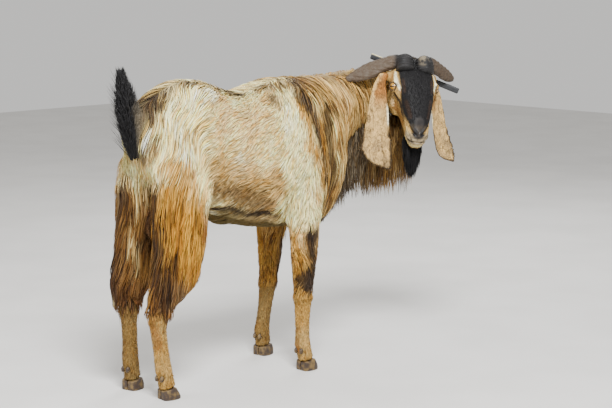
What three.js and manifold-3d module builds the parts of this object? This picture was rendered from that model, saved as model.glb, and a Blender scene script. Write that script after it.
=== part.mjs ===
// A life-size standing goat: a long-eared, Roman-nosed buck with short flat horns, a
// raised tail and long feathering, looking back over its right side.
//
// Millimetres, +Z up, +X the way the body faces, +Y its left. The hooves stand on z = 0.
// The body is modelled whole from lofts, then parted by thin cuts into its named parts.

import * as THREE from 'three';
import { LoftGeometry } from 'three/addons/geometries/LoftGeometry.js';
import { mergeVertices } from 'three/addons/utils/BufferGeometryUtils.js';
import Module from 'manifold-3d';

const wasm = await Module();
wasm.setup();

// ---------------------------------------------------------------- driving dimensions

const GAP = 0.3; // clear width of the cuts between neighbouring parts
const TOLERANCE = 0.14; // how far the facets may stray from the smooth shapes

// The middle of the goat's bounding box in plan is brought to x = y = 0.
const BOX_MIDDLE = { x: 164, y: -43 };

// Trunk cross sections, from the rump to the breast: top and bottom heights and the
// half-width of each at its station along x.
const TRUNK = [
  { x: -382, top: 792, bottom: 640, half: 66 },
  { x: -345, top: 818, bottom: 585, half: 92 },
  { x: -290, top: 851, bottom: 545, half: 112 },
  { x: -230, top: 868, bottom: 510, half: 122 },
  { x: -160, top: 860, bottom: 478, half: 126 },
  { x: -80, top: 824, bottom: 444, half: 134 },
  { x: 0, top: 822, bottom: 424, half: 150 },
  { x: 80, top: 840, bottom: 412, half: 156 },
  { x: 150, top: 858, bottom: 406, half: 150 },
  { x: 215, top: 862, bottom: 400, half: 140 },
  { x: 275, top: 858, bottom: 398, half: 124 },
  { x: 325, top: 836, bottom: 420, half: 104 },
  { x: 362, top: 790, bottom: 470, half: 76 },
];

// Neck cross sections, from inside the shoulders to inside the back of the skull: the
// centre, the way the neck heads there in the ground plane, its half-width and its
// reach above and below the centre.
const NECK = [
  { at: [180, 0, 680], heading: 0, half: 118, above: 165, below: 215 },
  { at: [260, 2, 700], heading: 2, half: 108, above: 161, below: 210 },
  { at: [340, 10, 726], heading: 4, half: 88, above: 136, below: 186 },
  { at: [420, 26, 754], heading: 2, half: 72, above: 108, below: 160 },
  { at: [502, 34, 780], heading: -8, half: 62, above: 88, below: 136 },
  { at: [578, 10, 797], heading: -40, half: 58, above: 66, below: 116 },
  { at: [616, -44, 812], heading: -82, half: 54, above: 50, below: 98 },
  { at: [606, -96, 818], heading: -115, half: 46, above: 34, below: 80 },
];

// The long hair that hangs below the neck, from the brisket to the throat: its centre,
// its half-thickness, and its reach up into the neck and down to the tips.
const RUFF = [
  { at: [285, 0, 520], half: 60, above: 60, below: 130 },
  { at: [330, 4, 545], half: 56, above: 70, below: 156 },
  { at: [385, 14, 575], half: 46, above: 70, below: 156 },
  { at: [445, 24, 600], half: 36, above: 70, below: 162 },
  { at: [512, 26, 625], half: 34, above: 70, below: 168 },
  { at: [578, 6, 645], half: 38, above: 70, below: 172 },
  { at: [614, -50, 660], half: 42, above: 66, below: 184 },
  { at: [604, -96, 676], half: 26, above: 44, below: 180 },
];

// The head has its own frame: x towards the nose, y to its left, z out of the forehead,
// with the origin midway between the eyes.
const HEAD_AT = new THREE.Vector3(570, -145, 788);
const HEAD_HEADING = -128; // degrees from the body's forward axis
const HEAD_PITCH = 55; // degrees of the nose below the horizon
const HEAD_ROLL = -8; // degrees, its left side down
const HEAD_SCALE = 1.05;

// Skull cross sections in the head frame: half-width, reach to the forehead side and to
// the jaw side.
const SKULL = [
  { x: -104, half: 34, brow: 6, jaw: 46 },
  { x: -82, half: 50, brow: 28, jaw: 74 },
  { x: -55, half: 61, brow: 42, jaw: 96 },
  { x: -25, half: 66, brow: 49, jaw: 100 },
  { x: 5, half: 63, brow: 51, jaw: 94 },
  { x: 35, half: 55, brow: 52, jaw: 85 },
  { x: 65, half: 47, brow: 50, jaw: 75 },
  { x: 98, half: 40, brow: 43, jaw: 64 },
  { x: 127, half: 34, brow: 31, jaw: 55 },
  { x: 149, half: 32, brow: 17, jaw: 49 },
  { x: 163, half: 25, brow: 2, jaw: 43 },
];
const MUZZLE_BEND = 4; // how far the muzzle turns to the right
const EYE = { x: -4, spread: 57, z: 13, radius: 14.5 }; // spread is from the head's middle
const ORBIT_RADIUS = 23; // the bony ring round the eye

// Horns in the head frame: each is a ridged dome on the crown, then a flat blade that
// sweeps out and down. The right one reaches further forward than the left.
const HORNS = {
  right: [
    { at: [-47, -29, 30], wide: 28, thick: 25 },
    { at: [-77, -29, 31], wide: 28, thick: 28 },
    { at: [-82, -50, 19], wide: 22, thick: 18 },
    { at: [-78, -80, 8], wide: 20, thick: 13 },
    { at: [-67, -112, -4], wide: 25, thick: 10 },
    { at: [-53, -150, -17], wide: 21, thick: 8 },
    { at: [-44, -182, -27], wide: 10, thick: 5 },
  ],
  left: [
    { at: [-46, 31, 29], wide: 28, thick: 25 },
    { at: [-76, 32, 31], wide: 29, thick: 28 },
    { at: [-80, 50, 20], wide: 23, thick: 18 },
    { at: [-80, 78, 2], wide: 20, thick: 13 },
    { at: [-79, 102, -18], wide: 22, thick: 10 },
    { at: [-81, 126, -38], wide: 19, thick: 8 },
    { at: [-84, 144, -54], wide: 10, thick: 5 },
  ],
};

// Ears hang straight down from the sides of the skull, so they are placed in the body's
// frame: each drops from its root with its width along one compass direction, from the
// front edge to the back one, and swings sideways along another.
const EARS = {
  right: {
    root: [516, -84, 838],
    widthTowards: 128,
    swingTowards: -45,
    shape: [
      { drop: 0, swing: -8, half: 14 },
      { drop: 33, swing: -20, half: 20 },
      { drop: 79, swing: -22, half: 29 },
      { drop: 124, swing: -23, half: 36 },
      { drop: 173, swing: -26, half: 43 },
      { drop: 215, swing: -28, half: 49 },
      { drop: 246, swing: -23, half: 46 },
      { drop: 270, swing: -11, half: 33 },
      { drop: 286, swing: 8, half: 10 },
    ],
  },
  left: {
    root: [640, -150, 822],
    widthTowards: 5,
    swingTowards: -45,
    shape: [
      { drop: 0, swing: 0, half: 15 },
      { drop: 33, swing: 8, half: 24 },
      { drop: 73, swing: 14, half: 31 },
      { drop: 110, swing: 18, half: 35 },
      { drop: 157, swing: 25, half: 40 },
      { drop: 200, swing: 35, half: 46 },
      { drop: 226, swing: 43, half: 46 },
      { drop: 243, swing: 55, half: 30 },
      { drop: 252, swing: 72, half: 9 },
    ],
  },
};
const EAR_THICKNESS = 8;
const EAR_CUP = 12; // how far the ear's long edges turn in

// The beard hangs from the chin; spread is its share of its widest from top to tip.
const BEARD = {
  top: [537, -186, 640],
  tip: [530, -171, 531],
  wide: 25,
  deep: 18,
  spread: [0.9, 1, 0.86, 0.6, 0.22],
};

// The bar lies across the nape, behind the horns.
const BAR = { right: [563, 22, 886], left: [755, -165, 778], high: 17, deep: 20, corner: 3 };

// The tail stands up from the end of the rump, with its hair spread to a brush.
const TAIL = [
  { at: [-386, 0, 640], reach: 7, half: 8 },
  { at: [-391, 0, 690], reach: 15, half: 20 },
  { at: [-402, 0, 740], reach: 23, half: 30 },
  { at: [-413, 0, 790], reach: 27, half: 32 },
  { at: [-421, 0, 840], reach: 22, half: 27 },
  { at: [-431, 0, 880], reach: 12, half: 17 },
  { at: [-437, 0, 900], reach: 5, half: 7 },
];

// Legs: the centre line at each height comes from the joints, the sizes from the tables.
// reach is the half-size along x, half the half-size along y.
const FORELEG = [
  { z: 640, reach: 40, half: 18 },
  { z: 590, reach: 62, half: 34 },
  { z: 520, reach: 66, half: 42 },
  { z: 450, reach: 58, half: 42 },
  { z: 400, reach: 52, half: 38 },
  { z: 345, reach: 50, half: 34 },
  { z: 290, reach: 44, half: 31 },
  { z: 240, reach: 33, half: 29 },
  { z: 205, reach: 28, half: 25 },
  { z: 160, reach: 24, half: 22 },
  { z: 115, reach: 22, half: 21 },
  { z: 78, reach: 25, half: 24 },
  { z: 48, reach: 24, half: 24 },
  { z: 14, reach: 26, half: 25 },
];
const HINDLEG = [
  { z: 760, reach: 44, half: 18 },
  { z: 715, reach: 78, half: 38 },
  { z: 655, reach: 100, half: 52 },
  { z: 590, reach: 110, half: 59 },
  { z: 520, reach: 102, half: 58 },
  { z: 450, reach: 98, half: 54 },
  { z: 385, reach: 90, half: 50 },
  { z: 330, reach: 92, half: 46 },
  { z: 292, reach: 84, half: 40 },
  { z: 262, reach: 54, half: 30 },
  { z: 228, reach: 29, half: 23 },
  { z: 180, reach: 24, half: 21 },
  { z: 125, reach: 23, half: 21 },
  { z: 78, reach: 25, half: 24 },
  { z: 48, reach: 25, half: 24 },
  { z: 14, reach: 27, half: 25 },
];
// Where each leg's centre line is, from the top down: [height, x, distance from the middle].
const LEGS = {
  foreleg_right: {
    side: -1,
    sizes: FORELEG,
    toeOut: 4,
    line: [
      [640, 182, 84], [590, 174, 94], [450, 150, 104], [345, 143, 110], [240, 138, 111],
      [160, 134, 111], [78, 134, 111], [14, 152, 113],
    ],
  },
  foreleg_left: {
    side: 1,
    sizes: FORELEG,
    toeOut: 8,
    line: [
      [640, 188, 84], [590, 192, 94], [450, 214, 104], [345, 219, 110], [240, 213, 112],
      [160, 201, 113], [78, 184, 113], [14, 194, 115],
    ],
  },
  hindleg_right: {
    side: -1,
    sizes: HINDLEG,
    toeOut: 10,
    line: [
      [760, -240, 56], [655, -272, 68], [590, -292, 76], [450, -300, 80], [330, -322, 80],
      [292, -336, 80], [262, -364, 79], [228, -386, 78], [125, -373, 80], [78, -366, 80],
      [14, -350, 82],
    ],
  },
  hindleg_left: {
    side: 1,
    sizes: HINDLEG,
    toeOut: 10,
    line: [
      [760, -240, 56], [655, -270, 68], [590, -288, 76], [450, -300, 76], [330, -336, 72],
      [262, -362, 70], [228, -364, 69], [125, -361, 68], [78, -361, 68], [14, -350, 70],
    ],
  },
};

// Where the legs are parted: the elbow, the slope across the thigh from the flank up to
// the buttock, and the knee and hock.
const ELBOW_CUT = 436;
const THIGH_CUT = { x: -290, z: 556, slope: 30 };
const KNEE_CUT = 226;
const HOCK_CUT = 246;
// The neck is parted from the trunk from the withers down to the breast.
const NECK_CUT = { x: 318, z: 660, slope: -14 };

// Cloven hooves: each claw is long and narrow, with a sloping toe and a flat sole.
const CLAW = { length: 62, width: 25, height: 46, cleft: 3, toeSlope: 54 };
const CORONET = { z: 31, slope: 14 };
const DEWCLAW = { reach: 8, half: 6, height: 11, z: 60, behind: 20, apart: 10 };

const COLOURS = {
  coat: 0xc9ae84,
  thigh: 0xb98a4f,
  mane: 0x8a6a42,
  ear: 0xc8a57c,
  dark: 0x2b2420,
  horn: 0x4b423c,
  shank: 0xbf9360,
  hoof: 0x3f3630,
  eye: 0xb8862f,
  bar: 0x2a2b30,
};

// ---------------------------------------------------------------- solids and booleans

// A closed manifold solid from a three.js geometry.
function solid(geometry) {
  const bare = new THREE.BufferGeometry();
  bare.setAttribute('position', geometry.attributes.position);
  if (geometry.index) bare.setIndex(geometry.index);
  const merged = mergeVertices(bare, 1e-3);
  const index = merged.index.array;
  const kept = [];
  for (let i = 0; i < index.length; i += 3) {
    const [a, b, c] = [index[i], index[i + 1], index[i + 2]];
    if (a !== b && b !== c && c !== a) kept.push(a, b, c);
  }
  const mesh = new wasm.Mesh({
    numProp: 3,
    vertProperties: new Float32Array(merged.attributes.position.array),
    triVerts: new Uint32Array(kept),
  });
  return new wasm.Manifold(mesh);
}

// The three.js geometry of a manifold solid, without the triangles that add under the
// tolerance to its shape.
function geometryOf(manifold, tolerance) {
  const mesh = manifold.simplify(tolerance).getMesh();
  const geometry = new THREE.BufferGeometry();
  geometry.setAttribute('position', new THREE.BufferAttribute(mesh.vertProperties, 3));
  geometry.setIndex(new THREE.BufferAttribute(mesh.triVerts, 1));
  return geometry;
}

const join = (solids) => solids.reduce((whole, piece) => whole.add(piece));

const vector = (x, y, z) => new THREE.Vector3(x, y, z);

// The level direction at an angle in degrees from the body's forward axis.
function compass(degrees) {
  const angle = THREE.MathUtils.degToRad(degrees);
  return vector(Math.cos(angle), Math.sin(angle), 0);
}

// ---------------------------------------------------------------- shapes

// One closed ring of points, narrower towards its top by the crest fraction and towards
// its bottom by the keel fraction.
function ring({ centre, side, up, down, bend }, sides, power, crest, keel) {
  const points = [];
  for (let k = 0; k < sides; k += 1) {
    const angle = (k / sides) * Math.PI * 2;
    const c = Math.cos(angle);
    const s = Math.sin(angle);
    const across = Math.sign(c) * Math.abs(c) ** (2 / power);
    const height = Math.sign(s) * Math.abs(s) ** (2 / power);
    const narrow = 1 - Math.abs(height) * (height < 0 ? keel : crest);
    points.push(
      centre.clone()
        .addScaledVector(side, across * narrow)
        .addScaledVector(height < 0 ? down : up, Math.abs(height))
        .addScaledVector(bend, across * across),
    );
  }
  return points;
}

const SPANS = ['side', 'up', 'down', 'bend'];

// A closed skin over stations, each with a centre and vectors to its side, top and
// bottom, and one that bends its sides over. Smooth curves run through the stations;
// the ends are rounded over.
function loft(stations, { rows, sides, power = 2, crest = 0, keel = 0, round = [0, 0] }) {
  const curves = {};
  for (const key of ['centre', ...SPANS]) {
    const points = stations.map((station) => station[key] ?? vector(0, 0, 0));
    curves[key] = new THREE.CatmullRomCurve3(points, false, 'catmullrom', 0.5);
  }
  const at = (t, scale, shift) => {
    const centre = curves.centre.getPoint(t).addScaledVector(curves.centre.getTangent(t), shift);
    const spans = SPANS.map((key) => [key, curves[key].getPoint(t).multiplyScalar(scale)]);
    return { centre, ...Object.fromEntries(spans) };
  };
  const steps = [];
  const domes = [80, 55, 28].map((a) => THREE.MathUtils.degToRad(a));
  if (round[0] > 0) {
    for (const a of domes) steps.push(at(0, Math.cos(a), -round[0] * Math.sin(a)));
  }
  for (let i = 0; i <= rows; i += 1) steps.push(at(i / rows, 1, 0));
  if (round[1] > 0) {
    for (const a of domes.toReversed()) steps.push(at(1, Math.cos(a), round[1] * Math.sin(a)));
  }
  const middle = at(0.5, 1, 0);
  const turn = middle.side.clone().cross(middle.up).dot(curves.centre.getTangent(0.5));
  const sections = steps.map((s) => {
    const points = ring(s, sides, power, crest, keel);
    return turn > 0 ? points : points.reverse();
  });
  return new LoftGeometry(sections, { capStart: true, capEnd: true });
}

// A ball stretched to three half-sizes.
function ellipsoid(centre, sizes, turn = [0, 0, 0], detail = 16) {
  const geometry = new THREE.SphereGeometry(1, detail, Math.round(detail * 0.7));
  geometry.scale(...sizes);
  geometry.rotateX(turn[0]).rotateY(turn[1]).rotateZ(turn[2]);
  geometry.translate(...centre);
  return solid(geometry);
}

// A block from one corner to the other, turned about an axis through a pivot.
function block(low, high, turn = [0, 0, 0], pivot = [0, 0, 0]) {
  const size = high.map((value, i) => value - low[i]);
  const middle = high.map((value, i) => (value + low[i]) / 2 - pivot[i]);
  const geometry = new THREE.BoxGeometry(...size);
  geometry.translate(...middle);
  geometry.rotateX(turn[0]).rotateY(turn[1]).rotateZ(turn[2]);
  geometry.translate(...pivot);
  return solid(geometry);
}

// A value read from rows of [key, value] by straight lines between them.
function along(rows, key, column) {
  const above = rows.findIndex((row) => row[0] <= key);
  if (above <= 0) return rows[above < 0 ? rows.length - 1 : 0][column];
  const [a, b] = [rows[above - 1], rows[above]];
  return THREE.MathUtils.lerp(a[column], b[column], (a[0] - key) / (a[0] - b[0]));
}

// ---------------------------------------------------------------- trunk, neck and ruff

function trunk() {
  const stations = TRUNK.map(({ x, top, bottom, half }) => {
    const widest = bottom + (top - bottom) * 0.5;
    return {
      centre: vector(x, 0, widest),
      side: vector(0, half, 0),
      up: vector(0, 0, top - widest),
      down: vector(0, 0, bottom - widest),
    };
  });
  return solid(loft(stations, { rows: 14, sides: 15, power: 2.25, keel: 0.12, round: [16, 22] }));
}

// Everything ahead of the sloping cut between trunk and neck.
function aheadOfTrunk(grow = 0) {
  const { x, z, slope } = NECK_CUT;
  const turn = THREE.MathUtils.degToRad(slope);
  return block([x - grow, -400, -400], [1200, 400, 1400], [0, turn, 0], [x, 0, z]);
}

// The hip bones stand out under the skin on each side of the loin.
function hipBone(side) {
  return ellipsoid([-196, side * 72, 815], [58, 34, 34], [0, 0.35, side * 0.25], 12);
}

function neckLoft(stations, grow, options) {
  const sections = stations.map(({ at, heading, half, above, below }) => ({
    centre: vector(...at),
    side: compass(heading + 90).multiplyScalar(half + grow),
    up: vector(0, 0, above + grow),
    down: vector(0, 0, -below - grow),
  }));
  return solid(loft(sections, options));
}

const neck = (grow = 0) => neckLoft(
  NECK,
  grow,
  { rows: 11, sides: 14, power: 2.1, crest: 0.5, keel: 0.25, round: [10, 10] },
);

const ruff = () => neckLoft(
  RUFF.map((station, i) => ({ ...station, heading: NECK[i].heading })),
  0,
  { rows: 10, sides: 12, power: 1.8, keel: 0.78, round: [14, 26] },
);

// ---------------------------------------------------------------- head

const headMatrix = (() => {
  const pitch = THREE.MathUtils.degToRad(HEAD_PITCH);
  const roll = THREE.MathUtils.degToRad(HEAD_ROLL);
  const ahead = compass(HEAD_HEADING);
  const left = compass(HEAD_HEADING + 90);
  const up = vector(0, 0, 1);
  const nose = ahead.clone().multiplyScalar(Math.cos(pitch)).addScaledVector(up, -Math.sin(pitch));
  const brow = ahead.clone().multiplyScalar(Math.sin(pitch)).addScaledVector(up, Math.cos(pitch));
  const rolledLeft = left.multiplyScalar(Math.cos(roll)).addScaledVector(brow, Math.sin(roll));
  const rolledBrow = nose.clone().cross(rolledLeft);
  return new THREE.Matrix4().makeBasis(nose, rolledLeft, rolledBrow)
    .scale(vector(HEAD_SCALE, HEAD_SCALE, HEAD_SCALE))
    .setPosition(HEAD_AT);
})();

// Put a geometry or a manifold made in the head frame in its place on the body.
const onHead = (manifold) => manifold.transform(headMatrix.elements);

function skull(grow = 0) {
  const ball = (centre, sizes, turn) => {
    const grown = sizes.map((size) => size + grow);
    return ellipsoid(centre, grown, turn, 8);
  };
  const stations = SKULL.map(({ x, half, brow, jaw }) => ({
    centre: vector(x, -MUZZLE_BEND * THREE.MathUtils.smoothstep(x, 20, 150), 0),
    side: vector(0, half + grow, 0),
    up: vector(0, 0, brow + grow),
    down: vector(0, 0, -jaw - grow),
  }));
  const round = [14 + grow, 9 + grow];
  const bone = solid(loft(stations, { rows: 12, sides: 15, power: 2.6, keel: 0.32, round }));
  const muzzle = ball([142, -MUZZLE_BEND, 2], [24, 35, 24]);
  const chin = ball([150, 3, -36], [20, 23, 17]);
  const pairs = [-1, 1].flatMap((side) => [
    ball([EYE.x - 3, side * 51, EYE.z + 1], [26, 20, ORBIT_RADIUS], [side * -0.25, 0, 0]),
    ball([2, side * 41, -48], [56, 21, 37]),
    ball([-48, side * 58, -8], [20, 20, 17]),
  ]);
  return onHead(join([bone, muzzle, chin, ...pairs]));
}

function eyeball(side, grow = 0) {
  const radius = EYE.radius + grow;
  const centre = [EYE.x, side * EYE.spread, EYE.z];
  return onHead(ellipsoid(centre, [radius, radius, radius], [0, 0, 0], 9));
}

function horn(name, grow = 0) {
  const rows = HORNS[name];
  const points = rows.map(({ at }) => vector(...at));
  const curve = new THREE.CatmullRomCurve3(points);
  const stations = rows.map(({ wide, thick }, i) => {
    const tangent = curve.getTangent(i / (rows.length - 1));
    const twist = THREE.MathUtils.smoothstep(i, 0, 3);
    const flat = vector(0, points[0].y, 0).normalize().lerp(vector(-1, 0, 0.25), twist);
    flat.projectOnPlane(tangent).normalize();
    const face = tangent.clone().cross(flat).normalize();
    return {
      centre: points[i],
      side: flat.multiplyScalar(wide + grow),
      up: face.clone().multiplyScalar(thick + grow),
      down: face.multiplyScalar(-thick - grow),
    };
  });
  return onHead(solid(loft(stations, { rows: 9, sides: 8, power: 2.3, round: [4, 8] })));
}

// ---------------------------------------------------------------- ears, beard, bar, tail

// A long leaf that hangs from a narrow rolled root and is widest near its lower end,
// with its long edges turned in towards the cheek.
function ear({ root, widthTowards, swingTowards, shape }, side, grow = 0) {
  const across = compass(widthTowards);
  const swing = compass(swingTowards);
  const out = vector(0, 0, side).cross(across);
  const stations = shape.map(({ drop, swing: shift, half }) => {
    const rolled = Math.max(0, 1 - drop / 90);
    const thick = EAR_THICKNESS * (0.5 + rolled) + grow;
    return {
      centre: vector(...root).addScaledVector(swing, shift).add(vector(0, 0, -drop)),
      side: across.clone().multiplyScalar(half + grow),
      up: out.clone().multiplyScalar(thick),
      down: out.clone().multiplyScalar(-thick),
      bend: out.clone().multiplyScalar(-EAR_CUP * Math.min(1, half / 40)),
    };
  });
  return solid(loft(stations, { rows: 9, sides: 10, round: [6, 4] }));
}

function beard(grow = 0) {
  const [top, tip] = [vector(...BEARD.top), vector(...BEARD.tip)];
  const ahead = compass(HEAD_HEADING);
  const left = compass(HEAD_HEADING + 90);
  const stations = BEARD.spread.map((share, i) => ({
    centre: top.clone().lerp(tip, i / (BEARD.spread.length - 1)),
    side: left.clone().multiplyScalar(share * BEARD.wide + grow),
    up: ahead.clone().multiplyScalar(share * BEARD.deep + grow),
    down: ahead.clone().multiplyScalar(-share * BEARD.deep - grow),
  }));
  return solid(loft(stations, { rows: 5, sides: 8, round: [8, 4] }));
}

function bar(grow = 0) {
  const [a, b] = [vector(...BAR.right), vector(...BAR.left)];
  const length = a.distanceTo(b);
  const profile = new THREE.Shape();
  const [w, h, corner] = [BAR.deep / 2 + grow, BAR.high / 2 + grow, BAR.corner];
  profile.moveTo(-w + corner, -h);
  profile.lineTo(w - corner, -h).quadraticCurveTo(w, -h, w, -h + corner);
  profile.lineTo(w, h - corner).quadraticCurveTo(w, h, w - corner, h);
  profile.lineTo(-w + corner, h).quadraticCurveTo(-w, h, -w, h - corner);
  profile.lineTo(-w, -h + corner).quadraticCurveTo(-w, -h, -w + corner, -h);
  const options = { depth: length + 2 * grow, bevelEnabled: false, curveSegments: 3 };
  const geometry = new THREE.ExtrudeGeometry(profile, options);
  geometry.translate(0, 0, -grow);
  const lengthwise = b.clone().sub(a).normalize();
  const across = vector(0, 0, 1).cross(lengthwise).normalize();
  const upward = lengthwise.clone().cross(across);
  geometry.applyMatrix4(new THREE.Matrix4().makeBasis(across, upward, lengthwise).setPosition(a));
  return solid(geometry);
}

function tail(grow = 0) {
  const stations = TAIL.map(({ at, reach, half }) => ({
    centre: vector(...at),
    side: vector(0, half + grow, 0),
    up: vector(reach + grow, 0, 0),
    down: vector(-reach - grow, 0, 0),
  }));
  return solid(loft(stations, { rows: 8, sides: 8, round: [6, 6] }));
}

const scrotum = (grow = 0) => ellipsoid([-322, 0, 470], [30 + grow, 30 + grow, 54 + grow], [0, 0, 0], 10);

const sheath = () => ellipsoid([-96, 0, 462], [54, 26, 24], [0, 0.3, 0], 10);

// ---------------------------------------------------------------- legs and hooves

function leg({ side, sizes, line }, grow = 0) {
  const stations = sizes.map(({ z, reach, half }) => ({
    centre: vector(along(line, z, 1), side * along(line, z, 2), z),
    side: vector(reach + grow, 0, 0),
    up: vector(0, half + grow, 0),
    down: vector(0, -half - grow, 0),
  }));
  const shaft = solid(loft(stations, { rows: 14, sides: 10, power: 2.1, round: [14, 0] }));
  return sizes === HINDLEG ? shaft.add(hockPoint({ side, line }, grow)) : shaft;
}

// The point of the hock stands out behind the lower thigh.
function hockPoint({ side, line }, grow) {
  const centre = [along(line, 262, 1) - 36, side * along(line, 262, 2), 266];
  return ellipsoid(centre, [24 + grow, 20 + grow, 34 + grow], [0, -0.25, 0], 9);
}

// Everything below the cut that parts a leg from the body.
function belowBody({ sizes }, grow = 0) {
  if (sizes === FORELEG) return block([-900, -400, -300], [900, 400, ELBOW_CUT + grow]);
  const pivot = [THIGH_CUT.x, 0, THIGH_CUT.z];
  const turn = THREE.MathUtils.degToRad(THIGH_CUT.slope);
  return block([-990, -400, -300], [410, 400, THIGH_CUT.z + grow], [0, turn, 0], pivot);
}

// Everything below the knee or the hock.
function belowJoint({ sizes }, grow = 0) {
  const height = sizes === FORELEG ? KNEE_CUT : HOCK_CUT;
  return block([-900, -400, -300], [900, 400, height + grow]);
}

// Everything below the sloping line where hair meets horn, in a foot's own frame.
function coronet(grow = 0) {
  const turn = THREE.MathUtils.degToRad(-CORONET.slope);
  return block([-90, -70, -90], [90, 70, CORONET.z + grow], [0, turn, 0]);
}

// One claw of a hoof in its foot's frame: a plan outline cut by the toe's slope, the
// coronet and the floor.
function claw(side) {
  const { length, width, height, cleft, toeSlope } = CLAW;
  const plan = new THREE.Shape();
  const inner = cleft / 2;
  plan.moveTo(-length * 0.42, inner);
  plan.lineTo(length * 0.5, inner);
  plan.quadraticCurveTo(length * 0.56, inner + width * 0.35, length * 0.4, inner + width * 0.66);
  plan.quadraticCurveTo(length * 0.22, inner + width, -length * 0.08, inner + width);
  plan.quadraticCurveTo(-length * 0.42, inner + width, -length * 0.42, inner + width * 0.5);
  plan.closePath();
  const options = { depth: height, bevelEnabled: false, curveSegments: 4 };
  const blank = solid(new THREE.ExtrudeGeometry(plan, options));
  const slope = THREE.MathUtils.degToRad(90 - toeSlope);
  const toeTip = length * 0.55;
  const toe = block([toeTip, -60, -60], [length + 90, 90, 120], [0, -slope, 0], [toeTip, 0, 0]);
  const shaped = blank.subtract(toe).intersect(coronet());
  return side > 0 ? shaped : shaped.mirror([0, 1, 0]);
}

function footPlace({ side, line, toeOut }) {
  const matrix = new THREE.Matrix4().makeRotationZ(THREE.MathUtils.degToRad(side * toeOut));
  return matrix.setPosition(along(line, 14, 1), side * along(line, 14, 2), 0).elements;
}

function dewclaw(limb, side, grow = 0) {
  const { reach, half, height, z, behind, apart } = DEWCLAW;
  const x = along(limb.line, z, 1) - behind;
  const y = limb.side * along(limb.line, z, 2) + side * apart;
  return ellipsoid([x, y, z], [reach + grow, half + grow, height + grow], [0, 0.3, 0], 6);
}

// ---------------------------------------------------------------- assembly

const group = new THREE.Group();
group.name = 'goat';
const body = new THREE.Group();
body.position.set(-BOX_MIDDLE.x, -BOX_MIDDLE.y, 0);
group.add(body);

function place(name, manifold, colour, roughness = 0.9, tolerance = TOLERANCE) {
  const material = new THREE.MeshStandardMaterial({ color: colour, roughness, metalness: 0 });
  const mesh = new THREE.Mesh(geometryOf(manifold, tolerance), material);
  mesh.name = name;
  body.add(mesh);
}

// Pieces that sit in seats: each is made again a gap larger to clear its neighbours.
const seated = [
  { name: 'nape_bar', make: bar, colour: COLOURS.bar, roughness: 0.4 },
  { name: 'beard', make: beard, colour: COLOURS.dark },
  { name: 'tail', make: tail, colour: COLOURS.dark },
  { name: 'scrotum', make: scrotum, colour: COLOURS.thigh },
];
for (const [name, side] of Object.entries({ right: -1, left: 1 })) {
  seated.push(
    { name: `eye_${name}`, make: (grow) => eyeball(side, grow), colour: COLOURS.eye, roughness: 0.2 },
    { name: `horn_${name}`, make: (grow) => horn(name, grow), colour: COLOURS.horn, roughness: 0.6 },
  );
}
const limbs = Object.entries(LEGS);
for (const [name, limb] of limbs) {
  for (const [where, side] of Object.entries({ inner: -limb.side, outer: limb.side })) {
    const make = (grow) => dewclaw(limb, side, grow);
    seated.push({ name: `${name}_dewclaw_${where}`, make, colour: COLOURS.hoof, roughness: 0.7 });
    place(`${name}_claw_${where}`, claw(side).transform(footPlace(limb)), COLOURS.hoof, 0.7);
  }
}
const seats = join(seated.map(({ make }) => make(GAP)));
for (const { name, make, colour, roughness } of seated) place(name, make(0), colour, roughness);

const neckAndTrunk = join([
  trunk(), neck(), sheath(), hipBone(-1), hipBone(1), ...limbs.map(([, limb]) => leg(limb)),
]);

// Ears and legs are parted from the body, and the head from the neck, by their own
// shapes; the neck from the trunk, and the legs at their joints, by planes.
const ears = Object.entries(EARS).map(([name, shape]) => [name, shape, name === 'left' ? 1 : -1]);
const headSeat = skull(GAP);
const earSeats = join(ears.map(([, shape, side]) => ear(shape, side, GAP)));
for (const [name, shape, side] of ears) {
  place(`ear_${name}`, ear(shape, side).subtract(headSeat).subtract(seats), COLOURS.ear);
}
place('head', skull().subtract(seats), COLOURS.coat);

const legSeats = join(limbs.map(([, limb]) => leg(limb, GAP).intersect(belowBody(limb, GAP))));
const torso = neckAndTrunk.subtract(join([legSeats, headSeat, earSeats, seats]));
place('neck', torso.intersect(aheadOfTrunk()), COLOURS.coat);
place('trunk', torso.subtract(aheadOfTrunk(GAP)), COLOURS.coat);

const clear = join([headSeat, earSeats, seats, neck(GAP), trunk(GAP)]);
place('ruff', ruff().subtract(clear), COLOURS.mane);

for (const [name, limb] of limbs) {
  const foot = coronet(GAP).transform(footPlace(limb));
  const whole = leg(limb).intersect(belowBody(limb)).subtract(seats).subtract(foot);
  place(`${name}_upper`, whole.subtract(belowJoint(limb, GAP)), COLOURS.thigh);
  place(`${name}_lower`, whole.intersect(belowJoint(limb)), COLOURS.shank);
}

export default group;
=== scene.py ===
"""A life-size museum model of a long-eared goat buck that stands and looks back over its right side.

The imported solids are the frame. One skin replaces the nodes of flesh and lies inside them by the
coat's depth, and the coat is made of solid tufts over that skin. Metres, +Z up, +X the way the
body faces, +Y its left.
"""

import math

import bmesh
import bpy
import numpy as np
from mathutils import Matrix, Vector
from mathutils.bvhtree import BVHTree
from mathutils.kdtree import KDTree


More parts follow.
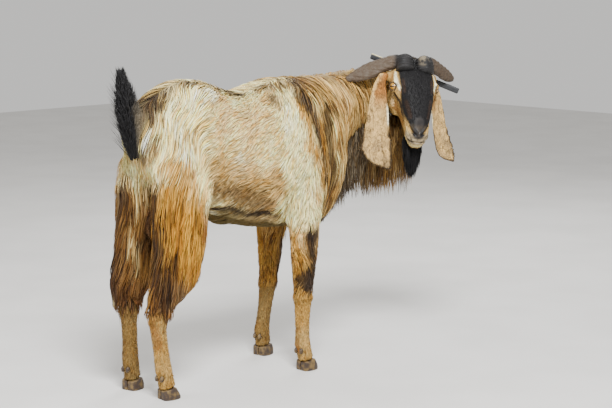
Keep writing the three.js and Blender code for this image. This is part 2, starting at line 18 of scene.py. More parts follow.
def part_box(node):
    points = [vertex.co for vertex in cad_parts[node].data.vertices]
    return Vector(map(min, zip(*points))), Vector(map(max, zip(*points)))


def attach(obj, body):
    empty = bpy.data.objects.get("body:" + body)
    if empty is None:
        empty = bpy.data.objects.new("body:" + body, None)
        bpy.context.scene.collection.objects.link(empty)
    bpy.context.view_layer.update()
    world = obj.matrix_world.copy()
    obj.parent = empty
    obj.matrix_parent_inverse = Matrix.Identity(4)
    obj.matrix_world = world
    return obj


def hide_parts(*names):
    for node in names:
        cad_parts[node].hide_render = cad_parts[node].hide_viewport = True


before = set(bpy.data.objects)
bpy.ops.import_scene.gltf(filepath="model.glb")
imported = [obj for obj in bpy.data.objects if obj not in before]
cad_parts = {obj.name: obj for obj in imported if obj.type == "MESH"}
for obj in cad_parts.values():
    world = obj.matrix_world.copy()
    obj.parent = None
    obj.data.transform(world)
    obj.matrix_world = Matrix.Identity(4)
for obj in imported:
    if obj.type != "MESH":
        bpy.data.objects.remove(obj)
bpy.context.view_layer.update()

# ------------------------------------------------------------------ named values

SPINE_Y = 0.043  # the body's middle plane
HEAD_AT = np.array([0.406, -0.102, 0.788])  # midway between the eyes
HEAD_HEADING = -128  # degrees from the body's forward axis
HEAD_PITCH = 55  # degrees of the nose below the horizon
HEAD_ROLL = -8  # degrees, its left side down
HEAD_UNIT = 0.00105  # metres in one unit of the head's own frame
MUZZLE_BEND = 4  # how far the muzzle turns to the right, in head units

EYE_CENTRE = (-4, 57, 13)  # in the head's frame, mirrored for the right eye
EYE_RADIUS = 14.5
EYE_GAZE = (0.30, 0.86, 0.41)
LID_GAP, LID_WIDTH, LID_RISE = 0.58, 0.88, 0.04  # of the lids' opening, in eye radii

VOXEL = 0.0040  # spacing of the skin's vertices
SEAM = 0.0006  # how far the solids swell to close the cuts between them

ROOT_SINK = 0.0006  # how far a tuft starts under the skin
PAINTED_ROOT_SHADE = 0.60  # painted shade: how dark a tuft is at its root, where the tufts shade each other
PAINTED_TIP_LIGHT = 1.10  # painted light: how much lighter than its marking a tuft is at its tip
THIGH_HAIR_END = 0.232  # the height that the long hair of the thighs hangs down to
WISP_REACH = 0.030  # how far the tail's loose hairs go behind its solid
RUFF_SPOTS = 9000  # places tried for the ruff's hairs; those outside its solid are dropped
TAIL_HAIRS = 3000
BEARD_DENSITY = 700000.0  # hairs in a square metre of the chin
REAR_END = -0.22  # where the pieces of the barrel's coat divide, along the body

LEGS = ("foreleg_right", "foreleg_left", "hindleg_right", "hindleg_left")
CLAW_ENDS = ("claw_inner", "claw_outer", "dewclaw_inner", "dewclaw_outer")
CLAWS = [f"{leg}_{end}" for leg in LEGS for end in CLAW_ENDS]
FLESH = ["trunk", "neck", "head", "ear_right", "ear_left", "scrotum"]
FLESH += [f"{leg}_{part}" for leg in LEGS for part in ("upper", "lower")]
HARD = ["horn_right", "horn_left", "eye_right", "eye_left", "nape_bar"] + CLAWS

# Each zone's coat: the depth from its tips to the skin, the length and width of a tuft, how
# many times the tufts cover the skin, how far the lie wanders and waves in radians, how far
# the tufts draw together into locks and how wide those are, how many rings a tuft has, how
# far painted shade darkens the skin under the tufts, and the shares of them that are darker,
# browner, more golden and paler than the markings.
COAT_KEYS = ("depth", "length", "width", "cover", "wander", "wave", "draw", "lock", "rings", "painted_shade_under")
COAT_KEYS += ("dark", "brown", "gold", "pale")
COAT_ROWS = {
    "barrel": (0.007, 0.030, 0.0024, 2.5, 0.16, 0.20, 0.20, 0.008, 3, 0.70, 0.0, 0.03, 0.22, 0.18),
    "back": (0.011, 0.065, 0.0032, 3.6, 0.50, 0.20, 0.45, 0.016, 4, 0.55, 0.12, 0.20, 0.10, 0.20),
    "drape": (0.013, 0.085, 0.0033, 4.4, 0.28, 0.16, 0.45, 0.016, 5, 0.60, 0.03, 0.09, 0.26, 0.22),
    "shoulder": (0.010, 0.045, 0.0030, 3.2, 0.25, 0.15, 0.35, 0.012, 3, 0.65, 0.0, 0.04, 0.16, 0.20),
    "mane": (0.016, 0.115, 0.0036, 5.0, 0.24, 0.16, 0.60, 0.022, 5, 0.40, 0.22, 0.20, 0.20, 0.18),
    "neck": (0.014, 0.090, 0.0036, 4.6, 0.30, 0.16, 0.50, 0.020, 5, 0.45, 0.08, 0.20, 0.14, 0.22),
    "thigh": (0.015, 0.105, 0.0036, 5.0, 0.16, 0.14, 0.55, 0.020, 5, 0.45, 0.15, 0.26, 0.20, 0.12),
    "forearm": (0.007, 0.036, 0.0030, 3.8, 0.35, 0.10, 0.40, 0.012, 3, 0.70, 0.06, 0.16, 0.18, 0.08),
    "scrotum": (0.008, 0.034, 0.0030, 3.5, 0.30, 0.10, 0.30, 0.012, 3, 0.60, 0.10, 0.20, 0.10, 0.05),
    "cannon": (0.0028, 0.014, 0.0020, 1.3, 0.15, 0.0, 0.10, 0.006, 2, 0.95, 0.0, 0.10, 0.18, 0.14),
    "head": (0.0014, 0.009, 0.0016, 1.1, 0.12, 0.0, 0.0, 0.006, 2, 1.0, 0.0, 0.0, 0.0, 0.0),
    "ear": (0.0008, 0.007, 0.0012, 0.25, 0.15, 0.0, 0.0, 0.006, 2, 1.0, 0.0, 0.0, 0.0, 0.0),
}
COAT = {zone: dict(zip(COAT_KEYS, row)) for zone, row in COAT_ROWS.items()}
ZONES = list(COAT)

# Coat colours, as sRGB.
COLOURS = {
    "cream": (253, 234, 170),
    "white": (252, 244, 206),
    "sand": (241, 208, 150),
    "tan": (184, 150, 88),
    "gold": (174, 126, 38),
    "ginger": (142, 86, 30),
    "brown": (86, 58, 30),
    "umber": (58, 40, 27),
    "dark": (46, 33, 24),
    "black": (22, 21, 22),
    "slate": (42, 39, 38),
    "grey": (134, 122, 100),
    # painted shade under the belly
    "shade_olive": (84, 70, 26),
    "pink": (204, 148, 112),
    "horn": (96, 84, 74),
    "ear": (206, 170, 108),
}


def linear(name):
    """A named colour as linear light."""
    value = np.array(COLOURS[name]) / 255
    return np.where(value > 0.04045, ((value + 0.055) / 1.055) ** 2.4, value / 12.92)


# ------------------------------------------------------------------ small tools


def smooth(low, high, value):
    """0 below low, 1 above high, and a smooth step between them."""
    share = np.clip((value - low) / (high - low), 0, 1)
    return share * share * (3 - 2 * share)


def unit(vectors):
    """Vectors at length one."""
    return vectors / np.maximum(np.linalg.norm(vectors, axis=-1, keepdims=True), 1e-12)


def wobble(points, size, seed, waves=8):
    """Smooth noise, mostly from -1 to 1, that changes over the given size."""
    random = np.random.default_rng(seed)
    axes = unit(random.normal(size=(waves, 3))) * random.uniform(0.6, 1.6, (waves, 1))
    phases = random.uniform(0, 2 * math.pi, waves)
    total = np.sin(points @ axes.T * (math.pi / size) + phases).sum(axis=1)
    return total / (1.1 * math.sqrt(waves))


def wobbles(points, size, first_seed):
    """Smooth noise along each of the three axes."""
    return np.stack([wobble(points, size, first_seed + axis) for axis in range(3)], axis=1)


def blend(first, second, share):
    """Rows of numbers mixed by a share, which is one number or one for each row."""
    share = np.asarray(share, dtype=float)
    share = share[:, None] if share.ndim == 1 else share
    return np.asarray(first) * (1 - share) + np.asarray(second) * share


def distance_to_path(points, path):
    """The distance from each point to a path of straight runs."""
    path = np.array(path, dtype=float)
    nearest = np.linalg.norm(points - path[0], axis=1)
    for start, end in zip(path[:-1], path[1:]):
        run = end - start
        share = np.clip((points - start) @ run / (run @ run), 0, 1)
        nearest = np.minimum(nearest, np.linalg.norm(points - start - share[:, None] * run, axis=1))
    return nearest


def head_axes():
    """The head frame's axes: to the nose, to its left, and out of the forehead."""
    heading, pitch, roll = (math.radians(a) for a in (HEAD_HEADING, HEAD_PITCH, HEAD_ROLL))
    ahead = np.array([math.cos(heading), math.sin(heading), 0])
    left = np.array([-math.sin(heading), math.cos(heading), 0])
    up = np.array([0, 0, 1])
    nose = ahead * math.cos(pitch) - up * math.sin(pitch)
    brow = ahead * math.sin(pitch) + up * math.cos(pitch)
    left = left * math.cos(roll) + brow * math.sin(roll)
    return np.array([nose, left, np.cross(nose, left)])


HEAD_AXES = head_axes()


def to_head(points):
    """World points in the head's frame and units."""
    return (points - HEAD_AT) @ HEAD_AXES.T / HEAD_UNIT


def from_head(points):
    """Points of the head's frame in the world."""
    return HEAD_AT + np.asarray(points) @ HEAD_AXES * HEAD_UNIT


def new_object(name, data):
    """An object of the scene for a mesh, a lamp or a camera."""
    obj = bpy.data.objects.new(name, data)
    bpy.context.scene.collection.objects.link(obj)
    return obj


def smooth_object(name, mesh):
    """A smooth-shaded object of the scene."""
    mesh.polygons.foreach_set("use_smooth", np.ones(len(mesh.polygons), dtype=bool))
    return new_object(name, mesh)


def flat32(values):
    """Numbers as the flat single-precision array that Blender takes."""
    return np.ascontiguousarray(values, dtype=np.float32).ravel()


def make_object(name, points, faces, uv):
    """A smooth-shaded object from arrays of points, of triangles and of places in the bake map."""
    mesh = bpy.data.meshes.new(name)
    mesh.vertices.add(len(points))
    mesh.vertices.foreach_set("co", flat32(points))
    mesh.loops.add(faces.size)
    mesh.loops.foreach_set("vertex_index", faces.ravel().astype(np.int32))
    mesh.polygons.add(len(faces))
    mesh.polygons.foreach_set("loop_start", np.arange(0, faces.size, 3, dtype=np.int32))
    mesh.uv_layers.new(name="OFBake").data.foreach_set("uv", flat32(uv[faces.ravel()]))
    mesh.update(calc_edges=True)
    return smooth_object(name, mesh)


def set_colours(mesh, colours):
    """Stores a colour for each vertex, for the coat's materials."""
    layer = mesh.color_attributes.new(name="Coat", type="FLOAT_COLOR", domain="POINT")
    layer.data.foreach_set("color", flat32(np.column_stack([colours, np.ones(len(colours))])))


def set_vectors(mesh, name, vectors):
    """Stores a vector for each vertex, for the materials."""
    layer = mesh.attributes.new(name=name, type="FLOAT_VECTOR", domain="POINT")
    layer.data.foreach_set("vector", flat32(vectors))


def set_points(mesh, points):
    mesh.vertices.foreach_set("co", flat32(points))
    mesh.update()


def read(items, key, width, kind=np.float32):
    """A property of a mesh's vertices, edges or faces, as rows of numbers."""
    values = np.empty(len(items) * width, dtype=kind)
    items.foreach_get(key, values)
    return values.reshape(-1, width)


def mesh_points(mesh):
    return read(mesh.vertices, "co", 3).astype(float)


def mesh_normals(mesh):
    return read(mesh.vertex_normals, "vector", 3).astype(float)


def mesh_edges(mesh):
    return read(mesh.edges, "vertices", 2, np.int32)


def mesh_triangles(mesh):
    mesh.calc_loop_triangles()
    return read(mesh.loop_triangles, "vertices", 3, np.int32)


def search_tree(points, faces):
    return BVHTree.FromPolygons(points.tolist(), faces.tolist(), all_triangles=True)


def nearest_on(tree, points):
    """The nearest places on a search tree's surface, and the faces that they are on."""
    found = [tree.find_nearest(point) for point in points.tolist()]
    return np.array([f[0][:] for f in found]), np.array([f[2] for f in found])


def relax(values, edges, weight, rounds):
    """Moves each vertex's values towards the mean of its neighbours'."""
    values = values.copy()
    flat = values.reshape(len(values), -1)
    a, b = edges.T
    count = len(flat)
    neighbours = np.maximum(np.bincount(a, minlength=count) + np.bincount(b, minlength=count), 1)
    share = np.broadcast_to(weight, (count,))
    for _ in range(rounds):
        for column in range(flat.shape[1]):
            old = flat[:, column]
            total = np.bincount(a, old[b], count) + np.bincount(b, old[a], count)
            flat[:, column] = old + share * (total / neighbours - old)
    return flat.reshape(values.shape)


def remeshed(name, mesh, voxel):
    """A mesh rebuilt over its outer surface from even faces."""
    obj = new_object(name, mesh)
    remesh = obj.modifiers.new("remesh", "REMESH")
    remesh.mode = "VOXEL"
    remesh.voxel_size = voxel
    depsgraph = bpy.context.evaluated_depsgraph_get()
    result = bpy.data.meshes.new_from_object(obj.evaluated_get(depsgraph))
    bpy.data.objects.remove(obj)
    return result


def as_mesh(name, work):
    """A new mesh of a bmesh, which is let go."""
    mesh = bpy.data.meshes.new(name)
    work.to_mesh(mesh)
    work.free()
    return mesh


def welded(node):
    """The bmesh of a CAD node with its split vertices joined again."""
    piece = bmesh.new()
    piece.from_mesh(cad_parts[node].data)
    bmesh.ops.remove_doubles(piece, verts=piece.verts, dist=1e-6)
    piece.normal_update()
    return piece


def tree_of(nodes):
    """A search tree over CAD nodes, and the number of the node that each face is of."""
    points, faces, owners = [], [], []
    for number, node in enumerate(nodes):
        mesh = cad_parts[node].data
        triangles = mesh_triangles(mesh) + sum(len(p) for p in points)
        points.append(mesh_points(mesh))
        faces.append(triangles)
        owners.append(np.full(len(triangles), number))
    return search_tree(np.vstack(points), np.vstack(faces)), np.concatenate(owners)


# ------------------------------------------------------------------ skin


def joined_flesh():
    """One mesh of all the flesh, slightly swollen so that the cuts between its parts close."""
    whole = bmesh.new()
    spare = bpy.data.meshes.new("spare")
    for node in FLESH + ["eye_right", "eye_left"]:
        piece = welded(node)
        for vertex in piece.verts:
            vertex.co += vertex.normal * SEAM
        piece.to_mesh(spare)
        piece.free()
        whole.from_mesh(spare)
    add_dock(whole)
    return as_mesh("flesh", whole)


def add_dock(whole):
    """The fleshy part of the tail, which its hair grows from."""
    low, high = Vector((-0.553, SPINE_Y, 0.735)), Vector((-0.590, SPINE_Y, 0.845))
    turn = (high - low).to_track_quat("Z", "Y").to_matrix().to_4x4()
    turn.translation = (low + high) / 2
    length = (high - low).length + 0.03
    bmesh.ops.create_cone(
        whole, cap_ends=True, segments=16, radius1=0.019, radius2=0.008, depth=length, matrix=turn
    )


def largest_body(mesh):
    """Keeps only the mesh's largest connected body."""
    work = bmesh.new()
    work.from_mesh(mesh)
    left = set(work.verts)
    best = set()
    while len(left) > len(best):
        start = left.pop()
        seen = {start}
        edge = [start]
        while edge:
            vertex = edge.pop()
            for link in vertex.link_edges:
                other = link.other_vert(vertex)
                if other not in seen:
                    seen.add(other)
                    edge.append(other)
        left -= seen
        best = max(best, seen, key=len)
    bmesh.ops.delete(work, geom=[v for v in work.verts if v not in best], context="VERTS")
    work.to_mesh(mesh)
    work.free()


def regions_of(points):
    """The number of the flesh node nearest to each point."""
    tree, owners = tree_of(FLESH)
    return owners[nearest_on(tree, points)[1]]


def is_of(regions, node):
    """Which of the skin's points are nearest to a flesh node."""
    return regions == FLESH.index(node)


def coat_key(node):
    """A flesh node's name without its side, for the legs."""
    for kind in ("foreleg", "hindleg"):
        if node.startswith(kind):
            return kind + "_" + node.rsplit("_", 1)[1]
    return node


def keys_of(regions):
    """The coat key of the flesh node nearest to each of the skin's points."""
    return np.array([coat_key(node) for node in FLESH])[regions]


# The zone of each flesh node that isn't named as its zone.
HOME_ZONES = {
    "trunk": "barrel",
    "foreleg_upper": "forearm",
    "foreleg_lower": "cannon",
    "hindleg_upper": "thigh",
    "hindleg_lower": "cannon",
    "ear_right": "ear",
    "ear_left": "ear",
}
# Where the trunk's hair is longer: a zone, its half-width and its path on both sides.
LONGER_HAIR = [
    ("shoulder", 0.070, [(-0.050, 0.10, 0.76), (-0.065, 0.13, 0.64), (-0.040, 0.12, 0.50)]),
    ("back", 0.042, [(-0.330, 0.0, 0.86), (-0.200, 0.0, 0.81), (-0.060, 0.0, 0.84)]),
    ("drape", 0.085, [(-0.52, 0.03, 0.80), (-0.43, 0.04, 0.85), (-0.46, 0.10, 0.74), (-0.45, 0.11, 0.62)]),
]
ZONE_EDGE_WOBBLE = 0.006  # how far the zones' edges wander


def mirrored_body(points):
    """Points with their distance from the body's middle plane in place of y."""
    side = points.copy()
    side[:, 1] = np.abs(points[:, 1] - SPINE_Y)
    return side


def zones_of(points, regions):
    """The number of the coat's zone at each point."""
    home = [HOME_ZONES.get(coat_key(node), coat_key(node)) for node in FLESH]
    zones = np.array([ZONES.index(zone) for zone in home])[regions]
    side = mirrored_body(points) + wobbles(points, 0.06, 71) * ZONE_EDGE_WOBBLE
    on_trunk = is_of(regions, "trunk")
    for zone, half, path in LONGER_HAIR:
        zones[on_trunk & (distance_to_path(side, path) < half)] = ZONES.index(zone)
    mane_edge = -0.010 + 0.30 * np.clip(0.78 - side[:, 2], 0, 1)
    zones[on_trunk & (side[:, 0] > mane_edge)] = ZONES.index("mane")
    return zones


def zone_values(zones, key):
    """One of the coat's values for each point."""
    return np.array([COAT[zone][key] for zone in ZONES])[zones]


# The face is split into finer faces twice: how near to an eye's middle, and how far back along
# the muzzle, in head units.
FINER_FACE = [(30, -10), (24, 108)]


def refine_face(mesh):
    """Splits the faces of the muzzle and round the eyes into finer ones."""
    work = bmesh.new()
    work.from_mesh(mesh)
    for eye_reach, muzzle_start in FINER_FACE:
        place = to_head(np.array([vertex.co[:] for vertex in work.verts]))
        x, y, z = place.T
        chosen = (x > muzzle_start) & (x < 200) & (np.abs(y) < 60) & (z > -75) & (z < 70)
        for side in (-1, 1):
            chosen |= np.linalg.norm(place - eye_centre(side), axis=1) < eye_reach
        work.verts.ensure_lookup_table()
        edges = [e for e in work.edges if chosen[e.verts[0].index] and chosen[e.verts[1].index]]
        bmesh.ops.subdivide_edges(work, edges=edges, cuts=1, use_grid_fill=True)
        work.verts.index_update()
    bmesh.ops.triangulate(work, faces=work.faces)
    work.to_mesh(mesh)
    work.free()


def eye_centre(side):
    return np.array([EYE_CENTRE[0], side * EYE_CENTRE[1], EYE_CENTRE[2]], dtype=float)


def eye_axes(side):
    """An eye's own axes in the head's frame: to the nose, up to the brow, and out."""
    gaze = unit(np.array([EYE_GAZE[0], side * EYE_GAZE[1], EYE_GAZE[2]]))
    ahead = np.array([1.0, 0, -0.25])
    ahead = unit(ahead - gaze * (ahead @ gaze))
    up = np.cross(gaze, ahead) * side
    return np.array([ahead, -up if up[2] < 0 else up, gaze])


def around_eye(place, side):
    """Points as offsets from an eye's middle, their distances, and their directions in its axes."""
    offset = place - eye_centre(side)
    return offset, np.linalg.norm(offset, axis=1), *(unit(offset) @ eye_axes(side).T).T


def lid_place(across, height):
    """Half the gap between the lids there, and how many times that far a point is from its middle."""
    lid = LID_GAP * np.clip(1 - (across / LID_WIDTH) ** 2, 0.02, 1)
    return lid, np.abs(height - LID_RISE) / lid


def shape_eye(place, side):
    """Draws the skin round an eye into two lids with an almond opening, in head units."""
    offset, reach, across, height, out = around_eye(place, side)
    lid, openness = lid_place(across, height)
    opening = smooth(1.12, 0.92, openness) * smooth(0.90, 0.80, np.abs(across)) * (out > 0)
    crease = np.exp(-(((height - lid - 0.26) / 0.07) ** 2)) * smooth(0.9, 0.5, np.abs(across))
    lids = EYE_RADIUS + 2.6 - 1.6 * crease + 0.8 * np.exp(-(((openness - 1.25) / 0.2) ** 2))
    target = lids * (1 - opening) + (EYE_RADIUS - 3.2) * opening
    share = smooth(EYE_RADIUS * 1.75, EYE_RADIUS * 1.15, reach) * smooth(-0.1, 0.35, out)
    share = np.maximum(share, opening)
    return place + unit(offset) * ((target - reach) * share)[:, None]


def nose_frame(points):
    """Points in the head's frame with the muzzle's turn taken out."""
    place = to_head(points)
    place[:, 1] += MUZZLE_BEND * smooth(20, 150, place[:, 0])
    return place


def folded_face(points):
    """Points in the nose's frame, with both sides of the face brought onto one."""
    place = nose_frame(points)
    place[:, 1] = np.abs(place[:, 1])
    return place


# The curved slit of a nostril, in head units.
NOSTRIL = [(131, 29, 20), (141, 23, 20), (150, 14, 17), (152, 9, 15)]
MOUTH_FRONT = (170, 0)  # the mouth's line at the front of the lips: x and z
MOUTH_SLOPE = 0.36


def mouth_height(x):
    """How high the line of the mouth is along the muzzle."""
    return MOUTH_FRONT[1] - MOUTH_SLOPE * (MOUTH_FRONT[0] - x)


def shape_head(points, normals):
    """Adds lids, nostrils, mouth and lips to the head."""
    place = to_head(points)
    mirrored = folded_face(points)
    facing = normals @ HEAD_AXES.T
    x, y, z = mirrored.T
    nostril = distance_to_path(mirrored, NOSTRIL)
    rim = np.exp(-(((nostril - 7.5) / 3.2) ** 2)) * smooth(112, 122, x)
    away = z - mouth_height(x)
    line = np.exp(-((away / 1.9) ** 2)) * smooth(106, 120, x)
    lips = np.exp(-(((np.abs(away) - 7) / 4) ** 2)) * smooth(112, 140, x)
    philtrum = np.exp(-((y / 1.7) ** 2)) * smooth(148, 156, x) * (z < 14) * (away > -1)
    cheek = distance_to_path(mirrored, [(36, 48, -8), (78, 41, -10), (104, 36, -8)])
    depth = 6.0 * np.exp(-((nostril / 3.4) ** 2)) - 1.6 * rim + 4.2 * line - 1.8 * lips
    depth += 2.2 * philtrum + 2.4 * np.exp(-((cheek / 9) ** 2))
    place -= facing * depth[:, None]
    near = np.abs(x) < 60
    for side in (-1, 1):
        place[near] = shape_eye(place[near], side)
    return from_head(place)


# Hollows and folds of the body, the same on both sides: the half-width, how deep it is, and a
# path of points (x, distance from the middle plane, z).
FOLDS = [
    (0.030, 0.011, [(-0.335, 0.105, 0.790), (-0.322, 0.125, 0.71), (-0.315, 0.125, 0.62)]),
    (0.018, 0.006, [(-0.175, 0.120, 0.700), (-0.165, 0.130, 0.60), (-0.145, 0.120, 0.52)]),
    (0.016, 0.012, [(-0.560, 0.0, 0.700), (-0.560, 0.0, 0.640), (-0.545, 0.0, 0.580)]),
    (0.016, 0.005, [(-0.405, 0.085, 0.800), (-0.380, 0.105, 0.780), (-0.350, 0.110, 0.775)]),
]


def fold_body(points, normals):
    """Presses the hollows and folds into the body."""
    side = mirrored_body(points)
    depth = np.zeros(len(points))
    for half, deep, path in FOLDS:
        depth += deep * np.exp(-((distance_to_path(side, path) / half) ** 2))
    return points - normals * depth[:, None]


def let_out_ears(points, normals, regions):
    """Brings the skin of the ears, which are thin and shrink in the remesh, back out to their solids."""
    for name in ("ear_right", "ear_left"):
        tree, _ = tree_of([name])
        for number in np.where(is_of(regions, name))[0]:
            hit = tree.ray_cast(points[number].tolist(), normals[number].tolist(), 0.010)
            if hit[0]:
                points[number] += normals[number] * (hit[3] - 0.001)
    return points


def make_skin():
    """The one skin over the whole body, and the flesh node nearest to each of its vertices."""
    mesh = remeshed("skin_source", joined_flesh(), VOXEL)
    largest_body(mesh)
    points = mesh_points(mesh)
    edges = mesh_edges(mesh)
    regions = regions_of(points)
    zones = zones_of(points, regions)
    soft_nodes = [n for n in FLESH if n in ("trunk", "neck") or n.endswith("upper")]
    softness = relax(np.isin(np.array(FLESH)[regions], soft_nodes).astype(float), edges, 0.5, 12)
    points = relax(points, edges, 0.5, 4)
    points = relax(points, edges, 0.5 * softness, 60)
    set_points(mesh, points)
    depth = relax(zone_values(zones, "depth"), edges, 0.5, 30)
    points = points - relax(mesh_normals(mesh), edges, 0.5, 10) * (depth + SEAM)[:, None]
    points = relax(points, edges, 0.4 * softness, 8)
    set_points(mesh, points)
    set_points(mesh, fold_body(points, mesh_normals(mesh)))
    refine_face(mesh)
    points = relax(mesh_points(mesh), mesh_edges(mesh), 0.35, 2)
    set_points(mesh, points)
    regions = regions_of(points)
    set_points(mesh, let_out_ears(points, mesh_normals(mesh), regions))
    on_head = is_of(regions, "head")
    shaped = shape_head(points, mesh_normals(mesh))
    points[on_head] = shaped[on_head]
    set_points(mesh, points)
    return smooth_object("skin", mesh), regions


# ------------------------------------------------------------------ markings

CM = 100  # the strokes on the body and the legs are in centimetres

# Strokes of colour on the body, the same on both sides: the half-width, how strongly it covers
# what is under it, and a path of points (x, distance from the middle plane, z).
BODY_STROKES = [
    ("cream", 7.5, 0.90, [(-48, 8, 78), (-44, 11, 73), (-41, 12, 66)]),
    ("white", 3, 0.55, [(-47, 9, 78), (-44, 11, 72)]),
    ("cream", 3.4, 0.75, [(-25, 6, 81), (-15, 4, 82)]),
    ("cream", 4, 0.60, [(-7.5, 7, 83), (-10, 13, 74), (-8.5, 15.5, 62), (-5, 13, 50)]),
    ("white", 1.4, 0.50, [(-8.5, 10, 80), (-10, 14, 72)]),
    ("white", 2.2, 0.80, [(-27.2, 13, 65), (-26.4, 12.5, 60)]),
    ("tan", 5, 0.80, [(-33, 12, 62.5), (-25, 12.5, 57), (-15, 13, 55.5)]),
    ("brown", 3, 0.72, [(-33, 11, 56.5), (-25, 11.5, 54), (-15, 12, 50.5)]),
    # Painted shade: the dark olive underside of the belly.
    ("shade_olive", 7, 0.92, [(-30, 1, 46), (-18, 2, 44), (-5, 1, 42)]),
    ("dark", 1.3, 0.95, [(-31, 7, 50.7), (-22, 9.3, 48.9), (-10, 10.4, 47.2)]),
    ("white", 1, 0.90, [(-30.5, 5, 48.8), (-29, 5, 48)]),
    ("gold", 2.6, 0.80, [(-49, 10, 69), (-45.5, 12, 65.5), (-42, 12.5, 63)]),
    ("gold", 2, 0.55, [(-42.5, 11, 76), (-40.5, 12, 70), (-38, 12.5, 62)]),
    ("pink", 1, 0.50, [(-43.9, 11.7, 65.9), (-43.6, 11.7, 65)]),
    ("umber", 3.4, 0.95, [(-56, 1.6, 79), (-53, 1.4, 81), (-49, 1.2, 83.2)]),
    ("umber", 2.4, 0.90, [(-49, 1.6, 83.2), (-45, 1.4, 85)]),
    ("brown", 1.6, 0.65, [(-45, 1, 85.2), (-40, 0.8, 86.5), (-36, 0.8, 86.3)]),
    ("umber", 1.8, 0.85, [(-36, 1.8, 86.2), (-30, 2.6, 84.8), (-24, 3, 82.2), (-19, 3, 80.5)]),
    ("umber", 1.8, 0.92, [(-55, 2.4, 79), (-56.6, 3, 72), (-55.6, 3.4, 65)]),
    ("white", 1, 0.90, [(-53.3, 5, 78.5), (-54.9, 5.8, 72), (-54, 6.8, 66), (-53, 8, 62)]),
    # Painted shade in the cleft between the hind legs, over the fold there.
    ("dark", 1.4, 0.90, [(-55.6, 0, 68), (-55.6, 0, 62)]),
    ("brown", 1.1, 0.85, [(-52, 6.8, 77.5), (-53.4, 7.8, 71), (-52, 9.2, 64)]),
    ("white", 2.2, 0.95, [(-40, 7.2, 84.8), (-36.5, 8.8, 84.3), (-33.5, 10, 82.5)]),
    ("gold", 0.7, 0.80, [(-40, 9.8, 82.2), (-35.5, 11.2, 80.8), (-32.2, 10.6, 81.5)]),
    ("umber", 1.3, 0.85, [(5, 3, 85), (-5.5, 5.3, 84.5), (-9.5, 6.8, 83.2)]),
    ("brown", 1.5, 0.80, [(-11.5, 1, 84.5), (-10, 6, 83.2), (-11.8, 10, 79)]),
    ("brown", 2.2, 0.70, [(-9, 2, 83.8), (-4, 3, 84.8), (2, 3, 85.2)]),
    ("umber", 2, 0.92, [(-2, 5, 84.5), (0, 12, 77), (2.2, 14, 68.5), (6, 13, 59)]),
    ("gold", 1.2, 0.85, [(-3, 10, 80), (-2.5, 14, 72), (0.2, 14.5, 64), (4.5, 13, 55)]),
    ("dark", 1.8, 0.80, [(5, 7, 83), (5.5, 12, 73), (9, 12.5, 63), (12, 10, 50)]),
    ("gold", 1, 0.80, [(3, 10, 80), (3.2, 13, 71), (5.5, 13.5, 62), (10, 11, 52)]),
    ("cream", 1.2, 0.60, [(8, 8, 82), (8.5, 12, 72), (12, 11, 62)]),
    ("gold", 1.6, 0.60, [(11, 10, 60), (15, 8, 50)]),
    ("slate", 4.5, 0.70, [(20, 5, 49), (30, 4, 46), (36, 2, 46)]),
]

# Strokes on the legs, in the right legs' places: the left legs are shifted to match.
LEG_STROKES = [
    ("gold", 5, 0.85, [(-49, 12.5, 61), (-48, 13, 52), (-45, 13, 42)]),
    ("ginger", 1.4, 0.60, [(-42, 12.5, 58), (-40, 12, 50), (-41, 12, 42)]),
    ("grey", 4, 0.40, [(-49, 13, 37), (-47, 12, 30)]),
    ("umber", 2.4, 0.85, [(-56.1, 7.8, 60), (-56, 8.5, 49), (-54.5, 10.5, 40), (-53, 11, 33)]),
    ("gold", 1, 0.70, [(-53.5, 10, 60), (-54, 10.5, 50), (-53, 12, 40)]),
    ("brown", 2.2, 0.60, [(-52, 12, 46), (-50, 12.5, 36)]),
    ("cream", 1.6, 0.80, [(-53, 3, 66), (-53, 3.2, 54), (-52.5, 3.2, 41)]),
    ("umber", 3.2, 0.90, [(-57, 6.2, 58), (-58, 6.4, 42), (-58.5, 6.2, 33)]),
    ("dark", 1, 0.70, [(-40, 10, 47), (-38.5, 10, 42)]),
    ("white", 1.5, 0.95, [(-58, 8.5, 33.5), (-58.8, 8.7, 27.8)]),
    ("ginger", 1.2, 0.80, [(-59.2, 8, 26.2), (-58.5, 8.5, 25)]),
    ("gold", 2.2, 0.80, [(-8, 11, 43), (-7.5, 12, 38), (-7, 12, 31)]),
    ("dark", 2.7, 0.95, [(-1.2, 14.5, 41.5), (-1.8, 14.7, 35), (-1.2, 14.5, 26.5)]),
    ("dark", 2.2, 0.90, [(1.2, 10, 40), (1.2, 10, 30), (0.8, 10, 24)]),
    ("dark", 2, 0.85, [(-4.5, 13.5, 30), (-2, 14, 26.2)]),
    ("ginger", 1.2, 0.80, [(-6, 11, 9.5), (-5, 11.2, 6)]),
    ("ginger", 1.6, 0.55, [(-57, 9, 21.5), (-56, 9, 16)]),
]
FORELEG_STRIDE = 0.072  # how far the left foreleg stands ahead of the right one

# Strokes on the face, in head units: (x to the nose, distance from the middle, z to the brow).
FACE_STROKES = [
    ("ginger", 11, 0.90, [(-62, 66, 22), (-40, 72, 16), (-18, 74, 4)]),
    ("ginger", 14, 0.55, [(40, 50, -24), (70, 44, -24), (96, 38, -18)]),
    ("sand", 9, 0.70, [(10, 58, -18), (26, 54, -30)]),
    ("brown", 9, 0.50, [(84, 38, 8), (104, 36, 2)]),
    ("white", 5.5, 0.95, [(-52, 60, 25), (-30, 60, 25), (0, 58, 31), (18, 53, 32)]),
    ("pink", 3.2, 0.75, [(22, 52, 32), (40, 48, 33), (56, 43, 34)]),
    ("dark", 6.0, 0.95, [(8, 62, 2), (26, 56, 4), (48, 50, 16), (66, 45, 14), (82, 41, 2)]),
]
BLAZE = [(-70, 50), (-10, 50), (30, 48), (62, 44), (85, 39), (116, 32), (128, 26)]  # x, half-width
